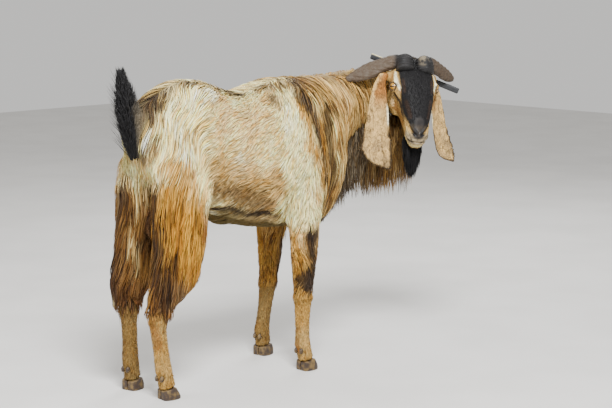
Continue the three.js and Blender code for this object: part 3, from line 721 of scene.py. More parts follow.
# Strokes over the blaze, in the same units.
MUZZLE_STROKES = [
    ("umber", 5, 0.60, [(-6, 42, 42), (10, 42, 42), (30, 40, 42)]),
    ("umber", 7, 0.50, [(60, 37, 38), (86, 32, 36), (108, 28, 32)]),
    ("grey", 14, 0.85, [(150, 28, 0), (162, 14, 5), (166, 0, 6)]),
    ("slate", 16, 0.96, [(124, 0, 34), (140, 0, 27), (152, 0, 20)]),
    ("black", 9, 0.92, [(122, 22, 29), (138, 18, 25), (150, 9, 19)]),
    ("cream", 2.4, 0.90, [(110, 38, 20), (125, 37, 12), (140, 32, 9), (151, 24, 8)]),
    ("black", 3.4, 0.90, [(154, 24, 0), (160, 17, 3)]),
    ("black", 3.6, 0.95, NOSTRIL),
    ("cream", 9, 0.80, [(166, 0, -16), (160, 16, -18), (146, 26, -20)]),
    ("black", 9, 0.90, [(128, 0, -52), (142, 8, -50), (156, 0, -48)]),
    ("black", 34, 0.95, [(-66, 0, 42), (-92, 0, 26), (-112, 0, 0)]),
]
# The line of the mouth, and the bare pad of the nose.
MOUTH_LINE = [(108, 40, -22), (126, 36, -15), (146, 31, -8), (160, 20, -3), (169, 8, 0), (171, 0, 0)]
NOSE_PAD = [(126, 0, 32), (140, 0, 27), (154, 0, 18), (160, 0, 8)]


def paint(colours, points, strokes, softness=0.45):
    """Lays strokes of colour over what is there."""
    for name, half, strength, path in strokes:
        away = distance_to_path(points, path) / half
        colours = blend(colours, linear(name), strength * smooth(1 + softness, 1 - softness, away))
    return colours


def base_colours(points, zones):
    """The ground colour of each zone, before the strokes."""
    _, y, z = points.T
    drift = smooth(-0.9, 1.1, wobble(points, 0.08, 31))
    fine = smooth(-0.8, 1.2, wobble(points * [0.5, 1, 1], 0.02, 32))
    low = smooth(0.42, 0.30, z)
    # The body's left side. Its legs are painted darker than the right ones: painted shade cast by the
    # body, with browner marking on the thigh and forearm as well.
    left = smooth(0.0, 0.02, y - SPINE_Y)
    elbow = smooth(0.33, 0.43, z + 0.02 * wobble(points, 0.02, 34))
    golden = smooth(0.70, 0.57, z + 0.03 * wobble(points * [1, 1, 0.4], 0.03, 33))
    cream, sand, tan, gold, brown = (linear(name) for name in ("cream", "sand", "tan", "gold", "brown"))
    thigh = blend(blend(gold, tan, 0.25), brown, 0.80 * left)
    rump = blend(blend(cream, sand, 0.35 * fine), thigh, golden)
    foreleg = blend(blend(tan, gold, 0.5), sand, 0.75 * elbow)
    grounds = {
        "barrel": blend(sand, cream, 0.6 * drift) * (0.88 + 0.20 * fine)[:, None],
        "back": blend(cream, tan, 0.3 * drift),
        "drape": rump,
        "shoulder": blend(cream, sand, 0.8 * drift),
        "mane": blend(tan, cream, 0.4 * fine),
        "neck": blend(tan, sand, 0.35 * fine),
        "thigh": blend(rump, 1.3 * brown, 0.8 * low),
        "forearm": blend(foreleg, blend(gold, brown, 0.5), 0.8 * left),
        "scrotum": brown + 0 * points,
        # Painted shade: the left cannons are painted half as bright.
        "cannon": blend(tan, gold, 0.5 * drift) * (1 - 0.5 * left)[:, None],
        "head": 0.95 * tan + 0 * points,
        "ear": linear("ear") * (0.92 + 0.16 * fine)[:, None],
    }
    colours = np.zeros((len(points), 3))
    for number, zone in enumerate(ZONES):
        mine = zones == number
        colours[mine] = grounds[zone][mine]
    return colours


def paint_face(colours, points, warp):
    """The black blaze, the stripes over the eyes and the muzzle's rings."""
    place = folded_face(points) + warp * 1.2
    colours = paint(colours, place, FACE_STROKES, 0.25)
    along, half = np.array(BLAZE, dtype=float).T
    x, y, z = place.T
    mask = smooth(1.07, 0.95, y / np.interp(x, along, half)) * smooth(2, 12, z) * smooth(136, 122, x)
    colours = paint(blend(colours, linear("black"), mask), place, MUZZLE_STROKES, 0.3)
    _, reach, across, height, out = around_eye(place, 1)
    rim = smooth(1.75, 1.30, lid_place(across, height)[1]) * smooth(1.02, 0.92, np.abs(across)) * (out > 0)
    rim *= smooth(EYE_RADIUS * 1.7, EYE_RADIUS * 1.3, reach)
    mouth = smooth(4.6, 1.8, distance_to_path(place, MOUTH_LINE))
    return blend(blend(colours, linear("dark"), 0.95 * rim), linear("black"), 0.9 * mouth)


def paint_ear(colours, points, front):
    """An ear's orange root, pale folded front margin, dark lower rim and painted shade along its creases;
    front is its front way.
    """
    across = points @ front
    rows = ((points[:, 2] - points[:, 2].min()) / 0.004).astype(int)
    near, far = np.full(rows.max() + 1, 1e9), np.full(rows.max() + 1, -1e9)
    np.minimum.at(near, rows, across)
    np.maximum.at(far, rows, across)
    columns = ((across - across.min()) / 0.004).astype(int)
    lowest = np.full(columns.max() + 1, 1e9)
    np.minimum.at(lowest, columns, points[:, 2])
    share = (across - near[rows]) / np.maximum((far - near)[rows], 1e-4)
    height = (points[:, 2] - points[:, 2].min()) / np.ptp(points[:, 2])
    root = smooth(0.56, 0.82, height) * smooth(0.20, 0.55, share + 0.20 * wobble(points, 0.014, 81))
    margin = smooth(0.90, 0.95, share) * smooth(0.44, 0.50, height) * smooth(0.70, 0.64, height)
    edge = np.minimum(points[:, 2] - lowest[columns], np.minimum(across - near[rows], far[rows] - across))
    rim = smooth(0.0075, 0.0040, edge) * smooth(0.46, 0.38, height)
    # Painted shade: umber lines along the ear's creases.
    crease = smooth(0.16, 0.03, np.abs(wobble(points * [1, 1, 0.16], 0.011, 83)))
    crease *= smooth(-0.3, 0.5, wobble(points, 0.02, 84)) * (height < 0.92)
    grey = 0.75 * smooth(0.46, 0.20, height) * smooth(-0.8, 0.6, wobble(points, 0.02, 82))
    masks = {"horn": 0.6 * grey, "ginger": 0.9 * root, "umber": 0.75 * crease}
    masks |= {"white": margin, "dark": 0.9 * rim}
    for name, mask in masks.items():
        colours = blend(colours, linear(name), mask)
    return colours


EAR_FRONTS = {"ear_right": -52, "ear_left": -175}  # the compass way of each ear's front edge


def markings(points, regions, colours):
    """The coat's colour at points of the skin, over their ground colours."""
    warp = wobbles(points, 0.040, 1)
    ripple = wobbles(points * [1, 1, 0.35], 0.009, 4)
    body = mirrored_body(points) + warp * 0.006 + ripple * 0.003
    node = keys_of(regions)
    on_leg = np.char.find(node, "leg") >= 0
    on_body = np.isin(node, ["trunk", "neck", "foreleg_upper", "hindleg_upper"])
    colours[on_body] = paint(colours[on_body], CM * body[on_body], BODY_STROKES)
    stride = FORELEG_STRIDE * np.char.startswith(node, "fore") * (points[:, 1] > SPINE_Y)
    leg = body - np.stack([stride, 0 * stride, 0 * stride], axis=1)
    near_leg = on_leg | (node == "trunk") & (points[:, 2] < 0.64)
    colours[near_leg] = paint(colours[near_leg], CM * leg[near_leg], LEG_STROKES)
    on_head = node == "head"
    colours[on_head] = paint_face(colours[on_head], points[on_head], warp[on_head])
    for name, heading in EAR_FRONTS.items():
        mine = node == name
        front = np.array([math.cos(math.radians(heading)), math.sin(math.radians(heading)), 0])
        colours[mine] = paint_ear(colours[mine], points[mine], front)
    return colours


def grain_of(points, regions):
    """Coordinates whose third axis follows the lie of the short hair."""
    grain = points.copy()
    on_head = is_of(regions, "head")
    place = to_head(points) * HEAD_UNIT
    grain[on_head] = place[on_head][:, [1, 2, 0]]
    on_trunk = is_of(regions, "trunk")
    grain[on_trunk] = points[on_trunk][:, [1, 2, 0]]
    return grain


def kind_of(points, regions):
    """Where the skin is an ear, and where it is the bare pad of the nose."""
    node = np.array(FLESH)[regions]
    pad = smooth(17, 11, distance_to_path(folded_face(points), NOSE_PAD)) * (node == "head")
    return np.stack([np.char.startswith(node, "ear").astype(float), pad, 0 * pad], axis=1)


# ------------------------------------------------------------------ the lie of the hair


# How the trunk's hair lies on the rump, on the shoulder and on the breast: its direction, and
# where along the body it starts to turn that way and has turned.
TRUNK_LIES = [
    ((-0.30, 0, -1.0), -0.36, -0.44),
    ((-0.45, 0, -1.0), -0.17, -0.08),
    ((0.10, 0, -1.0), -0.04, 0.04),
]
# How the hair lies on the other parts, by their coat keys.
PART_LIES = {"neck": (0.10, 0, -1.0), "hindleg_upper": (-0.16, 0, -1.0)}
for low_part in ("foreleg_upper", "foreleg_lower", "hindleg_lower", "scrotum"):
    PART_LIES[low_part] = (-0.08, 0, -1.0)
for ear in ("ear_right", "ear_left"):
    PART_LIES[ear] = (0, 0, -1.0)


def lie_of_hair(points, normals, regions, zones):
    """The direction that the hair lies in at each point, along the skin."""
    node = keys_of(regions)
    x, y, z = points.T
    side = np.sign(y - SPINE_Y)
    crest = smooth(0.35, 1.0, normals[:, 2])
    lie = np.stack([0 * x - 1.0, 0 * x, -0.22 - 0.25 * smooth(0.3, 1.0, np.abs(normals[:, 1]))], axis=1)
    lie[:, 1] = side * 0.5 * crest
    for aim, start, end in TRUNK_LIES:
        lie = blend(lie, aim, smooth(start, end, x))
    lie[:, 1] += side * 0.9 * crest * smooth(-0.16, -0.02, x)
    lie[:, 1] += side * 0.6 * crest * smooth(-0.36, -0.46, x)
    lie = blend(lie, (-0.35, 0, -1.0), 0.6 * smooth(0.58, 0.50, z) * smooth(-0.10, -0.25, x))
    for key, aim in PART_LIES.items():
        lie[node == key] = aim
    on_crest = (node == "neck") & (normals[:, 2] > 0.3)
    lie[on_crest, 1] += side[on_crest] * 0.8
    on_head = node == "head"
    place = to_head(points[on_head])
    back = np.stack([-np.ones(len(place)), 0 * place[:, 1], -0.9 * smooth(20, -40, place[:, 2])], axis=1)
    lie[on_head] = back @ HEAD_AXES
    turn = zone_values(zones, "wander") * wobble(points, 0.060, 11)
    turn += zone_values(zones, "wave") * wobble(points * [0.8, 0.8, 1.2], 0.016, 12)
    lie = unit(lie - normals * np.sum(lie * normals, axis=1, keepdims=True))
    aside = np.cross(normals, lie)
    return unit(lie * np.cos(turn)[:, None] + aside * np.sin(turn)[:, None])


# ------------------------------------------------------------------ tufts


class Surface:
    """The skin as arrays, with what the tufts need to know of it."""

    def __init__(self, obj, regions):
        mesh = obj.data
        self.points = mesh_points(mesh)
        self.normals = mesh_normals(mesh)
        self.edges = mesh_edges(mesh)
        self.faces = mesh_triangles(mesh)
        self.zones = zones_of(self.points, regions)
        corners = self.points[self.faces]
        cross = np.cross(corners[:, 1] - corners[:, 0], corners[:, 2] - corners[:, 0])
        self.areas = np.linalg.norm(cross, axis=1) / 2
        self.centres = corners.mean(axis=1)
        self.face_normals = unit(cross)
        self.face_regions = regions[self.faces[:, 0]]
        self.face_zones = self.zones[self.faces[:, 0]]
        even = unit(relax(self.normals, self.edges, 0.5, 6))
        lie = lie_of_hair(self.points, even, regions, self.zones)
        self.lie = unit(relax(lie, self.edges, 0.5, 4))
        self.tree = search_tree(self.points, self.faces)

    def value(self, per_vertex, faces):
        return per_vertex[self.faces[faces]].mean(axis=1)

    def outward(self, faces):
        return unit(self.value(self.normals, faces))


def scatter(density, seed):
    """Roots spread over the skin's faces by a density for each face: points and faces."""
    random = np.random.default_rng(seed)
    weight = np.cumsum(density * surface.areas)
    count = int(weight[-1])
    picks = (np.arange(count) + random.random(count)) * (weight[-1] / count)
    faces = np.minimum(np.searchsorted(weight, picks), len(surface.faces) - 1)
    a, b = random.random((2, count))
    flip = a + b > 1
    a[flip], b[flip] = 1 - a[flip], 1 - b[flip]
    first, second, third = np.moveaxis(surface.points[surface.faces[faces]], 1, 0)
    return first + a[:, None] * (second - first) + b[:, None] * (third - first), faces


def grow_along(roots, faces, length, depth, rings):
    """Lines of points that follow the lie of the hair and rise from the skin to the coat's depth."""
    normals = surface.outward(faces)
    lines = [roots - normals * ROOT_SINK]
    place, direction = roots, surface.value(surface.lie, faces)
    for ring in range(1, rings + 1):
        place = place + unit(direction) * (length / rings)[:, None]
        ground, faces = nearest_on(surface.tree, place)
        normals = surface.outward(faces)
        share = ring / rings
        lift = depth * (1.9 * share - 0.95 * share**2)
        place = ground + normals * lift[:, None]
        lines.append(place)
        direction = surface.value(surface.lie, faces)
    return np.stack(lines, axis=1)


def blades(lines, widths, outward, twist):
    """Closed three-sided blades along lines of points, thick near the root and thin at the tip."""
    count, rings = lines.shape[0], lines.shape[1] - 1
    ahead = unit(np.gradient(lines, axis=1))
    side = unit(np.cross(ahead, outward[:, None, :]))
    up = np.cross(side, ahead)
    c, s = np.cos(twist)[:, None, None], np.sin(twist)[:, None, None]
    side, up = side * c + up * s, up * c - side * s
    share = np.arange(rings) / rings
    taper = (0.62 + 0.75 * share - 1.05 * share**2)[None, :, None]
    half = widths[:, None, None] / 2 * taper
    base, side, up = lines[:, :rings], side[:, :rings] * half, up[:, :rings] * half
    rows = np.stack([base - side, base + 0.62 * up, base + side], axis=2)
    points = np.concatenate([rows.reshape(count, rings * 3, 3), lines[:, rings:]], axis=1)
    faces = [(0, 1, 2)]
    for ring in range(rings - 1):
        for k in range(3):
            a, b = ring * 3 + k, ring * 3 + (k + 1) % 3
            faces += [(a, a + 3, b + 3), (a, b + 3, b)]
    tip, last = rings * 3, (rings - 1) * 3
    faces += [(last + k, tip, last + (k + 1) % 3) for k in range(3)]
    faces = np.array(faces)[None] + (np.arange(count) * (tip + 1))[:, None, None]
    return points, faces.reshape(-1, 3)


class Unwrap:
    """A flat layout of the skin's own shape, for the coat's bake map."""

    def __init__(self, obj):
        mesh = remeshed("unwrap_source", obj.data.copy(), 0.012)
        flat = new_object("unwrap", mesh)
        bpy.context.view_layer.objects.active = flat
        flat.select_set(True)
        bpy.ops.object.mode_set(mode="EDIT")
        bpy.ops.mesh.select_all(action="SELECT")
        bpy.ops.uv.smart_project(angle_limit=math.radians(70), island_margin=0.004)
        bpy.ops.object.mode_set(mode="OBJECT")
        self.faces = mesh_triangles(mesh)
        self.loops = read(mesh.loop_triangles, "loops", 3, np.int32)
        self.uv = read(mesh.uv_layers.active.data, "uv", 2)
        self.points = mesh_points(mesh)
        self.tree = search_tree(self.points, self.faces)
        bpy.data.objects.remove(flat)

    def place(self, points):
        """Where points of the skin lie in the layout."""
        spots, faces = nearest_on(self.tree, points)
        a, b, c = np.moveaxis(self.points[self.faces[faces]], 1, 0)
        whole = np.maximum(np.linalg.norm(np.cross(b - a, c - a), axis=1), 1e-12)
        u = np.linalg.norm(np.cross(spots - c, spots - b), axis=1) / whole
        v = np.linalg.norm(np.cross(spots - a, spots - c), axis=1) / whole
        weights = np.stack([u, v, np.clip(1 - u - v, 0, 1)], axis=1)
        return (self.uv[self.loops[faces]] * weights[:, :, None]).sum(axis=1)


def drawn_together(lines, size, draw, seed):
    """Draws the lines of a coat together into locks about as wide as the given size."""
    random = np.random.default_rng(seed)
    roots = lines[:, 0]
    order = random.permutation(len(roots))
    seeds = []
    grid = set()
    for number in order:
        cell = tuple((roots[number] / size).astype(int))
        if cell not in grid:
            grid.add(cell)
            seeds.append(number)
    tree = KDTree(len(seeds))
    for number, seed_root in enumerate(seeds):
        tree.insert(roots[seed_root].tolist(), number)
    tree.balance()
    lock = np.array([tree.find(root)[1] for root in roots.tolist()])
    counts = np.maximum(np.bincount(lock, minlength=len(seeds)), 1)
    flat = lines.reshape(len(lines), -1)
    means = np.stack([np.bincount(lock, column, len(seeds)) / counts for column in flat.T], axis=1)
    middle = means[lock].reshape(lines.shape)
    share = np.linspace(0, 1, lines.shape[1])[None, :, None] ** 1.4
    return lines + (middle - lines) * share * draw, lock


# How the darker, browner, more golden and paler tufts differ from the markings under them.
TINTS = {
    "dark": (0.26, 0.21, 0.18),
    "brown": (0.56, 0.45, 0.34),
    "gold": (0.96, 0.80, 0.50),
    "pale": (1.28, 1.28, 1.22),
}


def streaked(colours, roots, shares, lock, seed):
    """Colours with some whole locks, and single tufts in them, paler, golden, brown or dark."""
    random = np.random.default_rng(seed)
    mixed = random.normal(size=lock.max() + 1)[lock] + random.normal(size=len(roots))
    mixed += wobble(roots * [1, 1, 0.4], 0.02, seed)
    rank = mixed.argsort().argsort() / len(roots)
    tint = np.ones((len(roots), 3))
    low = 0.0
    for name in ("dark", "brown", "gold"):
        tint[(rank >= low) & (rank < low + shares[name])] = TINTS[name]
        low += shares[name]
    tint[rank > 1 - shares["pale"]] = TINTS["pale"]
    return colours * tint


PATCH = 0.003  # the size of a tuft's patch in the bake map


def blade_shares(rings):
    """How far across and how far along its blade each of a blade's points is."""
    across = np.append(np.tile([0.0, 0.5, 1.0], rings), 0.5)
    along = np.append(np.repeat(np.arange(rings), 3) / rings, 1.0)
    return across, along


def build_coat(name, lines, widths, outward, colours, seed):
    """A piece of coat from its tufts' lines, widths, outward directions and colours."""
    random = np.random.default_rng(seed)
    count, rings = lines.shape[0], lines.shape[1] - 1
    points, faces = blades(lines, widths, outward, random.normal(0, 0.35, count))
    roots = lines[:, 0]
    shade = 1 + 0.12 * wobble(roots, 0.012, seed + 1) + 0.15 * random.normal(size=count)
    warm = 0.03 * random.normal(size=count)
    tint = np.stack([1 + warm, np.ones(count), 1 - 1.5 * warm], axis=1)
    own = colours * np.clip(shade, 0.45, 1.6)[:, None] * tint
    across, along = blade_shares(rings)
    # Painted shade: each tuft darkens towards its root, where the tufts shade each other, and its tip is
    # painted lighter than its marking.
    gradient = PAINTED_ROOT_SHADE + (PAINTED_TIP_LIGHT - PAINTED_ROOT_SHADE) * smooth(0, 0.5, along)
    tones = own[:, None, :] * gradient[None, :, None]
    patches = unwrap.place(roots)[:, None, :] + np.stack([across, along], axis=1) * PATCH
    obj = make_object(name, points.reshape(-1, 3), faces, patches.reshape(-1, 2))
    set_colours(obj.data, np.clip(tones.reshape(-1, 3), 0.002, 0.95))
    strand = np.empty((count, len(along), 3))
    strand[:, :, 0] = across
    strand[:, :, 1] = random.random((count, 1)) * 50
    strand[:, :, 2] = along
    set_vectors(obj.data, "Strand", strand.reshape(-1, 3))
    obj.data.materials.append(coat_material)
    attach(obj, "root")
    print(f"{name}: {count} tufts, {len(faces)} triangles")
    return obj


# ------------------------------------------------------------------ materials


class Nodes:
    """A material's node tree, with short calls to add and link nodes."""

    def __init__(self, name, **settings):
        self.material = bpy.data.materials.new(name)
        self.material.use_nodes = True
        self.tree = self.material.node_tree
        self.tree.nodes.clear()
        self.output = self.tree.nodes.new("ShaderNodeOutputMaterial")
        self.shader = self.add("BsdfPrincipled", **settings)
        self.tree.links.new(self.shader.outputs[0], self.output.inputs["Surface"])

    def feed(self, socket, value):
        """Gives an input a plain value, or links it to another node's output."""
        if isinstance(value, bpy.types.NodeSocket):
            self.tree.links.new(value, socket)
        else:
            socket.default_value = value

    def add(self, kind, feeds=(), options=(), **inputs):
        """A new node with its options set and its inputs fed, by their numbers or names."""
        node = self.tree.nodes.new("ShaderNode" + kind)
        for key, value in dict(options).items():
            setattr(node, key, value)
        for key, value in inputs.items():
            node.inputs[key.replace("_", " ")].default_value = value
        for key, value in dict(feeds).items():
            self.feed(node.inputs[key], value)
        return node

    def attribute(self, name, output):
        return self.add("Attribute", options={"attribute_name": name}).outputs[output]

    def noise(self, vector, scale, detail=3.0):
        return self.add("TexNoise", {"Vector": vector}, Scale=scale, Detail=detail).outputs["Fac"]

    def cells(self, vector, scale, feature):
        node = self.add("TexVoronoi", {"Vector": vector}, {"feature": feature}, Scale=scale)
        return node.outputs["Distance"]

    def place(self):
        return self.add("TexCoord").outputs["Object"]

    def split(self, name):
        """The three values of a vector attribute."""
        return self.add("SeparateXYZ", {0: self.attribute(name, "Vector")}).outputs

    def stretch(self, vector, scale):
        feeds = {0: vector, 1: self.vector(scale)}
        return self.add("VectorMath", feeds, {"operation": "MULTIPLY"}).outputs[0]

    def vector(self, values):
        return self.add("CombineXYZ", dict(enumerate(values))).outputs[0]

    def between(self, value, low, high, low_out, high_out):
        """A value's smooth step from one range to another."""
        feeds = {"Value": value, "From Min": low, "From Max": high, "To Min": low_out, "To Max": high_out}
        return self.add("MapRange", feeds, {"interpolation_type": "SMOOTHSTEP"}).outputs[0]

    def times(self, colour, factor):
        return self.add("VectorMath", {0: colour, "Scale": factor}, {"operation": "SCALE"}).outputs[0]

    def plus(self, first, second):
        return self.add("VectorMath", {0: first, 1: second}, {"operation": "ADD"}).outputs[0]

    def math(self, operation, *values):
        return self.add("Math", dict(enumerate(values)), {"operation": operation}).outputs[0]

    def mix(self, share, first, second):
        """A colour between two others."""
        return self.add("Mix", {0: share, 6: first, 7: second}, {"data_type": "RGBA"}).outputs[2]

    def blend_value(self, share, first, second):
        """A number between two others."""
        return self.add("Mix", {0: share, 2: first, 3: second}, {"data_type": "FLOAT"}).outputs[0]

    def finish(self, colour=None, roughness=None, height=None, strength=0.3, distance=0.001):
        for name, source in (("Base Color", colour), ("Roughness", roughness)):
            if source is not None:
                self.feed(self.shader.inputs[name], source)
        if height is not None:
            bump = self.add("Bump", {"Height": height}, Strength=strength, Distance=distance)
            self.feed(self.shader.inputs["Normal"], bump.outputs[0])
        return self.material


def rgba(name, factor=1.0):
    return (*(linear(name) * factor), 1.0)


def make_coat_material():
    """Hair: fine streaks along each tuft."""
    nodes = Nodes("coat_hair", Roughness=0.58, Specular_IOR_Level=0.25)
    strand = nodes.attribute("Strand", "Vector")
    streaks = nodes.noise(nodes.stretch(strand, (5.0, 1.0, 1.2)), 1.0, 2.0)
    colour = nodes.times(nodes.attribute("Coat", "Color"), nodes.between(streaks, 0.3, 0.7, 0.82, 1.14))
    return nodes.finish(colour, None, streaks, 0.5, 0.0006)


def make_skin_material():
    """Short hair that lies flat, as streaks and bump, with the ears' veins and wrinkles, and painted shade
    in the wrinkles.
    """
    nodes = Nodes("skin_hair", Specular_IOR_Level=0.25)
    grain = nodes.attribute("Grain", "Vector")
    on_ear, on_pad, _ = nodes.split("Kind")
    fine = nodes.noise(nodes.stretch(grain, (900, 900, 150)), 1.0, 4.0)
    soft = nodes.noise(grain, 60.0, 3.0)
    warp = nodes.add("TexNoise", {"Vector": grain}, Scale=45.0, Detail=2.0).outputs["Color"]
    bent = nodes.plus(nodes.stretch(grain, (1, 1, 0.30)), nodes.stretch(warp, (0.03, 0.03, 0.03)))
    wrinkle = nodes.between(nodes.cells(bent, 75.0, "DISTANCE_TO_EDGE"), 0.0, 0.10, 0, 1)
    pores = nodes.cells(grain, 420.0, "F1")
    colour = nodes.attribute("Coat", "Color")
    for noise in (fine, soft):
        colour = nodes.times(colour, nodes.between(noise, 0.3, 0.7, 0.80, 1.16))
    # Painted shade: the ears darken along the wrinkles' grooves.
    colour = nodes.times(colour, nodes.blend_value(on_ear, 1.0, nodes.between(wrinkle, 0, 1, 0.50, 1.07)))
    height = nodes.blend_value(on_ear, fine, nodes.math("MULTIPLY_ADD", wrinkle, 0.9, fine))
    height = nodes.blend_value(on_pad, height, nodes.math("MULTIPLY", pores, 0.4))
    rough = nodes.blend_value(on_pad, nodes.between(fine, 0.3, 0.7, 0.56, 0.70), 0.42)
    return nodes.finish(colour, rough, height, 0.6, 0.0012)


def make_horn_material():
    """Near-black domes with ridges, and grey-brown blades with grain along them, with painted light making
    the blades paler where they face up, painted shade making them darker where they face down, and a
    painted highlight on the left dome.
    """
    nodes = Nodes("horn_keratin", Specular_IOR_Level=0.4)
    place = nodes.place()
    along = nodes.attribute("Along", "Vector")
    blade, lit_from_above, painted_highlight = nodes.split("Kind")
    fibres = nodes.noise(nodes.stretch(along, (5, 95, 95)), 1.0, 4.0)
    worn = nodes.noise(place, 55.0, 4.0)
    dome = nodes.mix(nodes.between(worn, 0.40, 0.75, 0, 0.5), rgba("black", 0.9), rgba("slate", 0.9))
    # Painted light and shade: the blades are paler grey where they face up and darker brown where they
    # face down.
    upper = nodes.mix(nodes.between(fibres, 0.35, 0.70, 0, 1), rgba("umber", 1.2), rgba("grey", 0.34))
    painted_shade_under = nodes.mix(nodes.between(fibres, 0.35, 0.70, 0, 1), rgba("umber", 0.5), rgba("brown", 0.5))
    colour = nodes.mix(blade, dome, nodes.mix(lit_from_above, painted_shade_under, upper))
    # Painted highlight: a pale grey patch on the left dome.
    patch = nodes.math("MULTIPLY", painted_highlight, nodes.between(worn, 0.42, 0.62, 0.0, 0.8))
    colour = nodes.mix(patch, colour, rgba("grey", 0.9))
    return nodes.finish(colour, nodes.between(worn, 0.3, 0.7, 0.56, 0.80), fibres, 0.5, 0.0016)


def make_hoof_material():
    """Hoof horn with growth rings, paler and dusty in patches."""
    nodes = Nodes("hoof_keratin", Roughness=0.6)
    place = nodes.place()
    rings = nodes.noise(nodes.stretch(place, (30, 30, 420)), 1.0, 3.0)
    dust = nodes.noise(place, 90.0, 4.0)
    tone = nodes.mix(nodes.between(dust, 0.4, 0.7, 0, 0.7), rgba("dark", 1.2), rgba("tan", 0.45))
    return nodes.finish(tone, nodes.between(dust, 0.3, 0.7, 0.5, 0.75), rings, 0.4, 0.0012)


def make_bar_material():
    """A dark bar, pale cream in patches along its upper edge."""
    nodes = Nodes("bar_worn", Roughness=0.5)
    place = nodes.place()
    wear = nodes.noise(place, 140.0, 5.0)
    # The upper edge turns pale cream in patches.
    rim = nodes.between(nodes.split("Along")[2], 0.70, 0.82, 0, 1)
    pale_top_edge = nodes.math("MULTIPLY", rim, nodes.between(wear, 0.35, 0.55, 0.2, 1))
    tone = nodes.mix(pale_top_edge, (0.016, 0.017, 0.020, 1), rgba("cream", 0.8))
    return nodes.finish(tone, nodes.between(wear, 0.3, 0.7, 0.35, 0.6), wear, 0.3, 0.0006)


def make_eye_material():
    """An amber iris with a level slit pupil, in a dark rim."""
    nodes = Nodes("eye_wet", Roughness=0.06, Specular_IOR_Level=0.6, Coat_Weight=0.6, Coat_Roughness=0.03)
    across, height, reach = nodes.split("Gaze")
    flecks = nodes.noise(nodes.stretch(nodes.attribute("Gaze", "Vector"), (9, 9, 2)), 2.0, 4.0)
    iris = nodes.mix(nodes.between(flecks, 0.35, 0.65, 0, 1), rgba("gold", 0.55), rgba("gold", 1.3))
    long, thin = nodes.between(across, 0.42, 0.52, 1, 0), nodes.between(height, 0.10, 0.16, 1, 0)
    slit = nodes.math("MULTIPLY", long, thin)
    tone = nodes.mix(slit, iris, (0.004, 0.004, 0.005, 1))
    tone = nodes.mix(nodes.between(reach, 0.62, 0.72, 0, 1), tone, (0.03, 0.018, 0.012, 1))
    return nodes.finish(tone)


def make_floor_material():
    nodes = Nodes("floor_plain", Roughness=0.9, Specular_IOR_Level=0.1)
    place = nodes.place()
    grain = nodes.noise(place, 3.0, 2.0)
    tone = nodes.mix(nodes.between(grain, 0.3, 0.7, 0, 1), (0.62, 0.61, 0.59, 1), (0.66, 0.65, 0.63, 1))
    return nodes.finish(tone)


# ------------------------------------------------------------------ hard parts


def refined(node, name, voxel, rounds, grow=0.0):
    """A smooth, finely divided copy of a hard CAD node."""
    mesh = remeshed(name, as_mesh(name + "_source", welded(node)), voxel)
    points = relax(mesh_points(mesh), mesh_edges(mesh), 0.5, rounds)
    set_points(mesh, points)
    set_points(mesh, mesh_points(mesh) + mesh_normals(mesh) * grow)
    obj = smooth_object(name, mesh)
    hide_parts(node)
    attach(obj, "root")
    return obj


PAINTED_HIGHLIGHT_PATCH = [(-68, 22, 54), (-86, 26, 44)]  # a painted highlight on the left horn's dome, in head units


def make_horn(name):
    """A horn with a ridged, swollen dome and long furrows on its blade."""
    obj = refined(f"horn_{name}", f"horn_{name}_keratin", voxel=0.0016, rounds=5, grow=0.0004)
    points = mesh_points(obj.data)
    side = 1 if name == "left" else -1
    place = to_head(points)
    across, out, z = (place * [1, side, 1]).T
    blade = smooth(48, 66, out)
    rounded = relax(points, mesh_edges(obj.data), 0.5, 45)
    points = rounded + (points - rounded) * blade[:, None]
    swell = np.exp(-(((out - 26) / 20) ** 2)) * smooth(-10, 20, z)
    rings = np.sin(across * 0.75 + 1.2 * wobble(points, 0.02, 5)) * (1 - blade) * smooth(0, 20, z)
    along = np.stack([out * blade + across * (1 - blade), across, z], axis=1) / 100
    furrows = wobble(along * np.array([0.25, 4, 4]), 0.16, 6) * blade
    normals = mesh_normals(obj.data)
    points += normals * (0.0050 * swell + 0.0011 * rings + 0.0007 * furrows)[:, None]
    set_points(obj.data, points)
    set_vectors(obj.data, "Along", along)
    # Painted light and shade: how far each face of the horn turns up; faces turned up are painted paler
    # and faces turned down darker.
    lit_from_above = smooth(-0.25, 0.35, (normals @ HEAD_AXES.T)[:, 2] + 0.15 * wobble(points, 0.03, 7))
    painted_highlight = 0 * lit_from_above
    # Painted highlight: a pale patch on the left horn's dome.
    if name == "left":
        painted_highlight = smooth(20, 4, distance_to_path(place, PAINTED_HIGHLIGHT_PATCH))
    set_vectors(obj.data, "Kind", np.stack([blade, lit_from_above, painted_highlight], axis=1))
    obj.data.materials.append(horn_material)


def make_eye(name, side):
    """A wet eyeball with a bulging cornea."""
    centre = eye_centre(side)
    axes = eye_axes(side)
    work = bmesh.new()
    bmesh.ops.create_icosphere(work, subdivisions=5, radius=1.0)
    mesh = as_mesh(f"eyeball_{name}", work)
    ball = mesh_points(mesh)
    out = ball[:, 2]
    bulge = 1 + 0.07 * smooth(0.70, 0.95, out)
    set_points(mesh, from_head(centre + (ball * bulge[:, None] * EYE_RADIUS) @ axes))
    rim = np.hypot(ball[:, 0], ball[:, 1])
    forward = axes[2] @ HEAD_AXES
    level = unit(np.cross(forward, [0, 0, 1]))
    turned = ball @ axes @ HEAD_AXES
    gaze = np.abs(np.stack([turned @ level, turned @ np.cross(forward, level), rim], axis=1))
    gaze[out <= 0] = 1.0
    set_vectors(mesh, "Gaze", gaze)
    obj = smooth_object(f"eyeball_{name}", mesh)
    mesh.materials.append(eye_material)
    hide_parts(f"eye_{name}")
    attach(obj, "root")


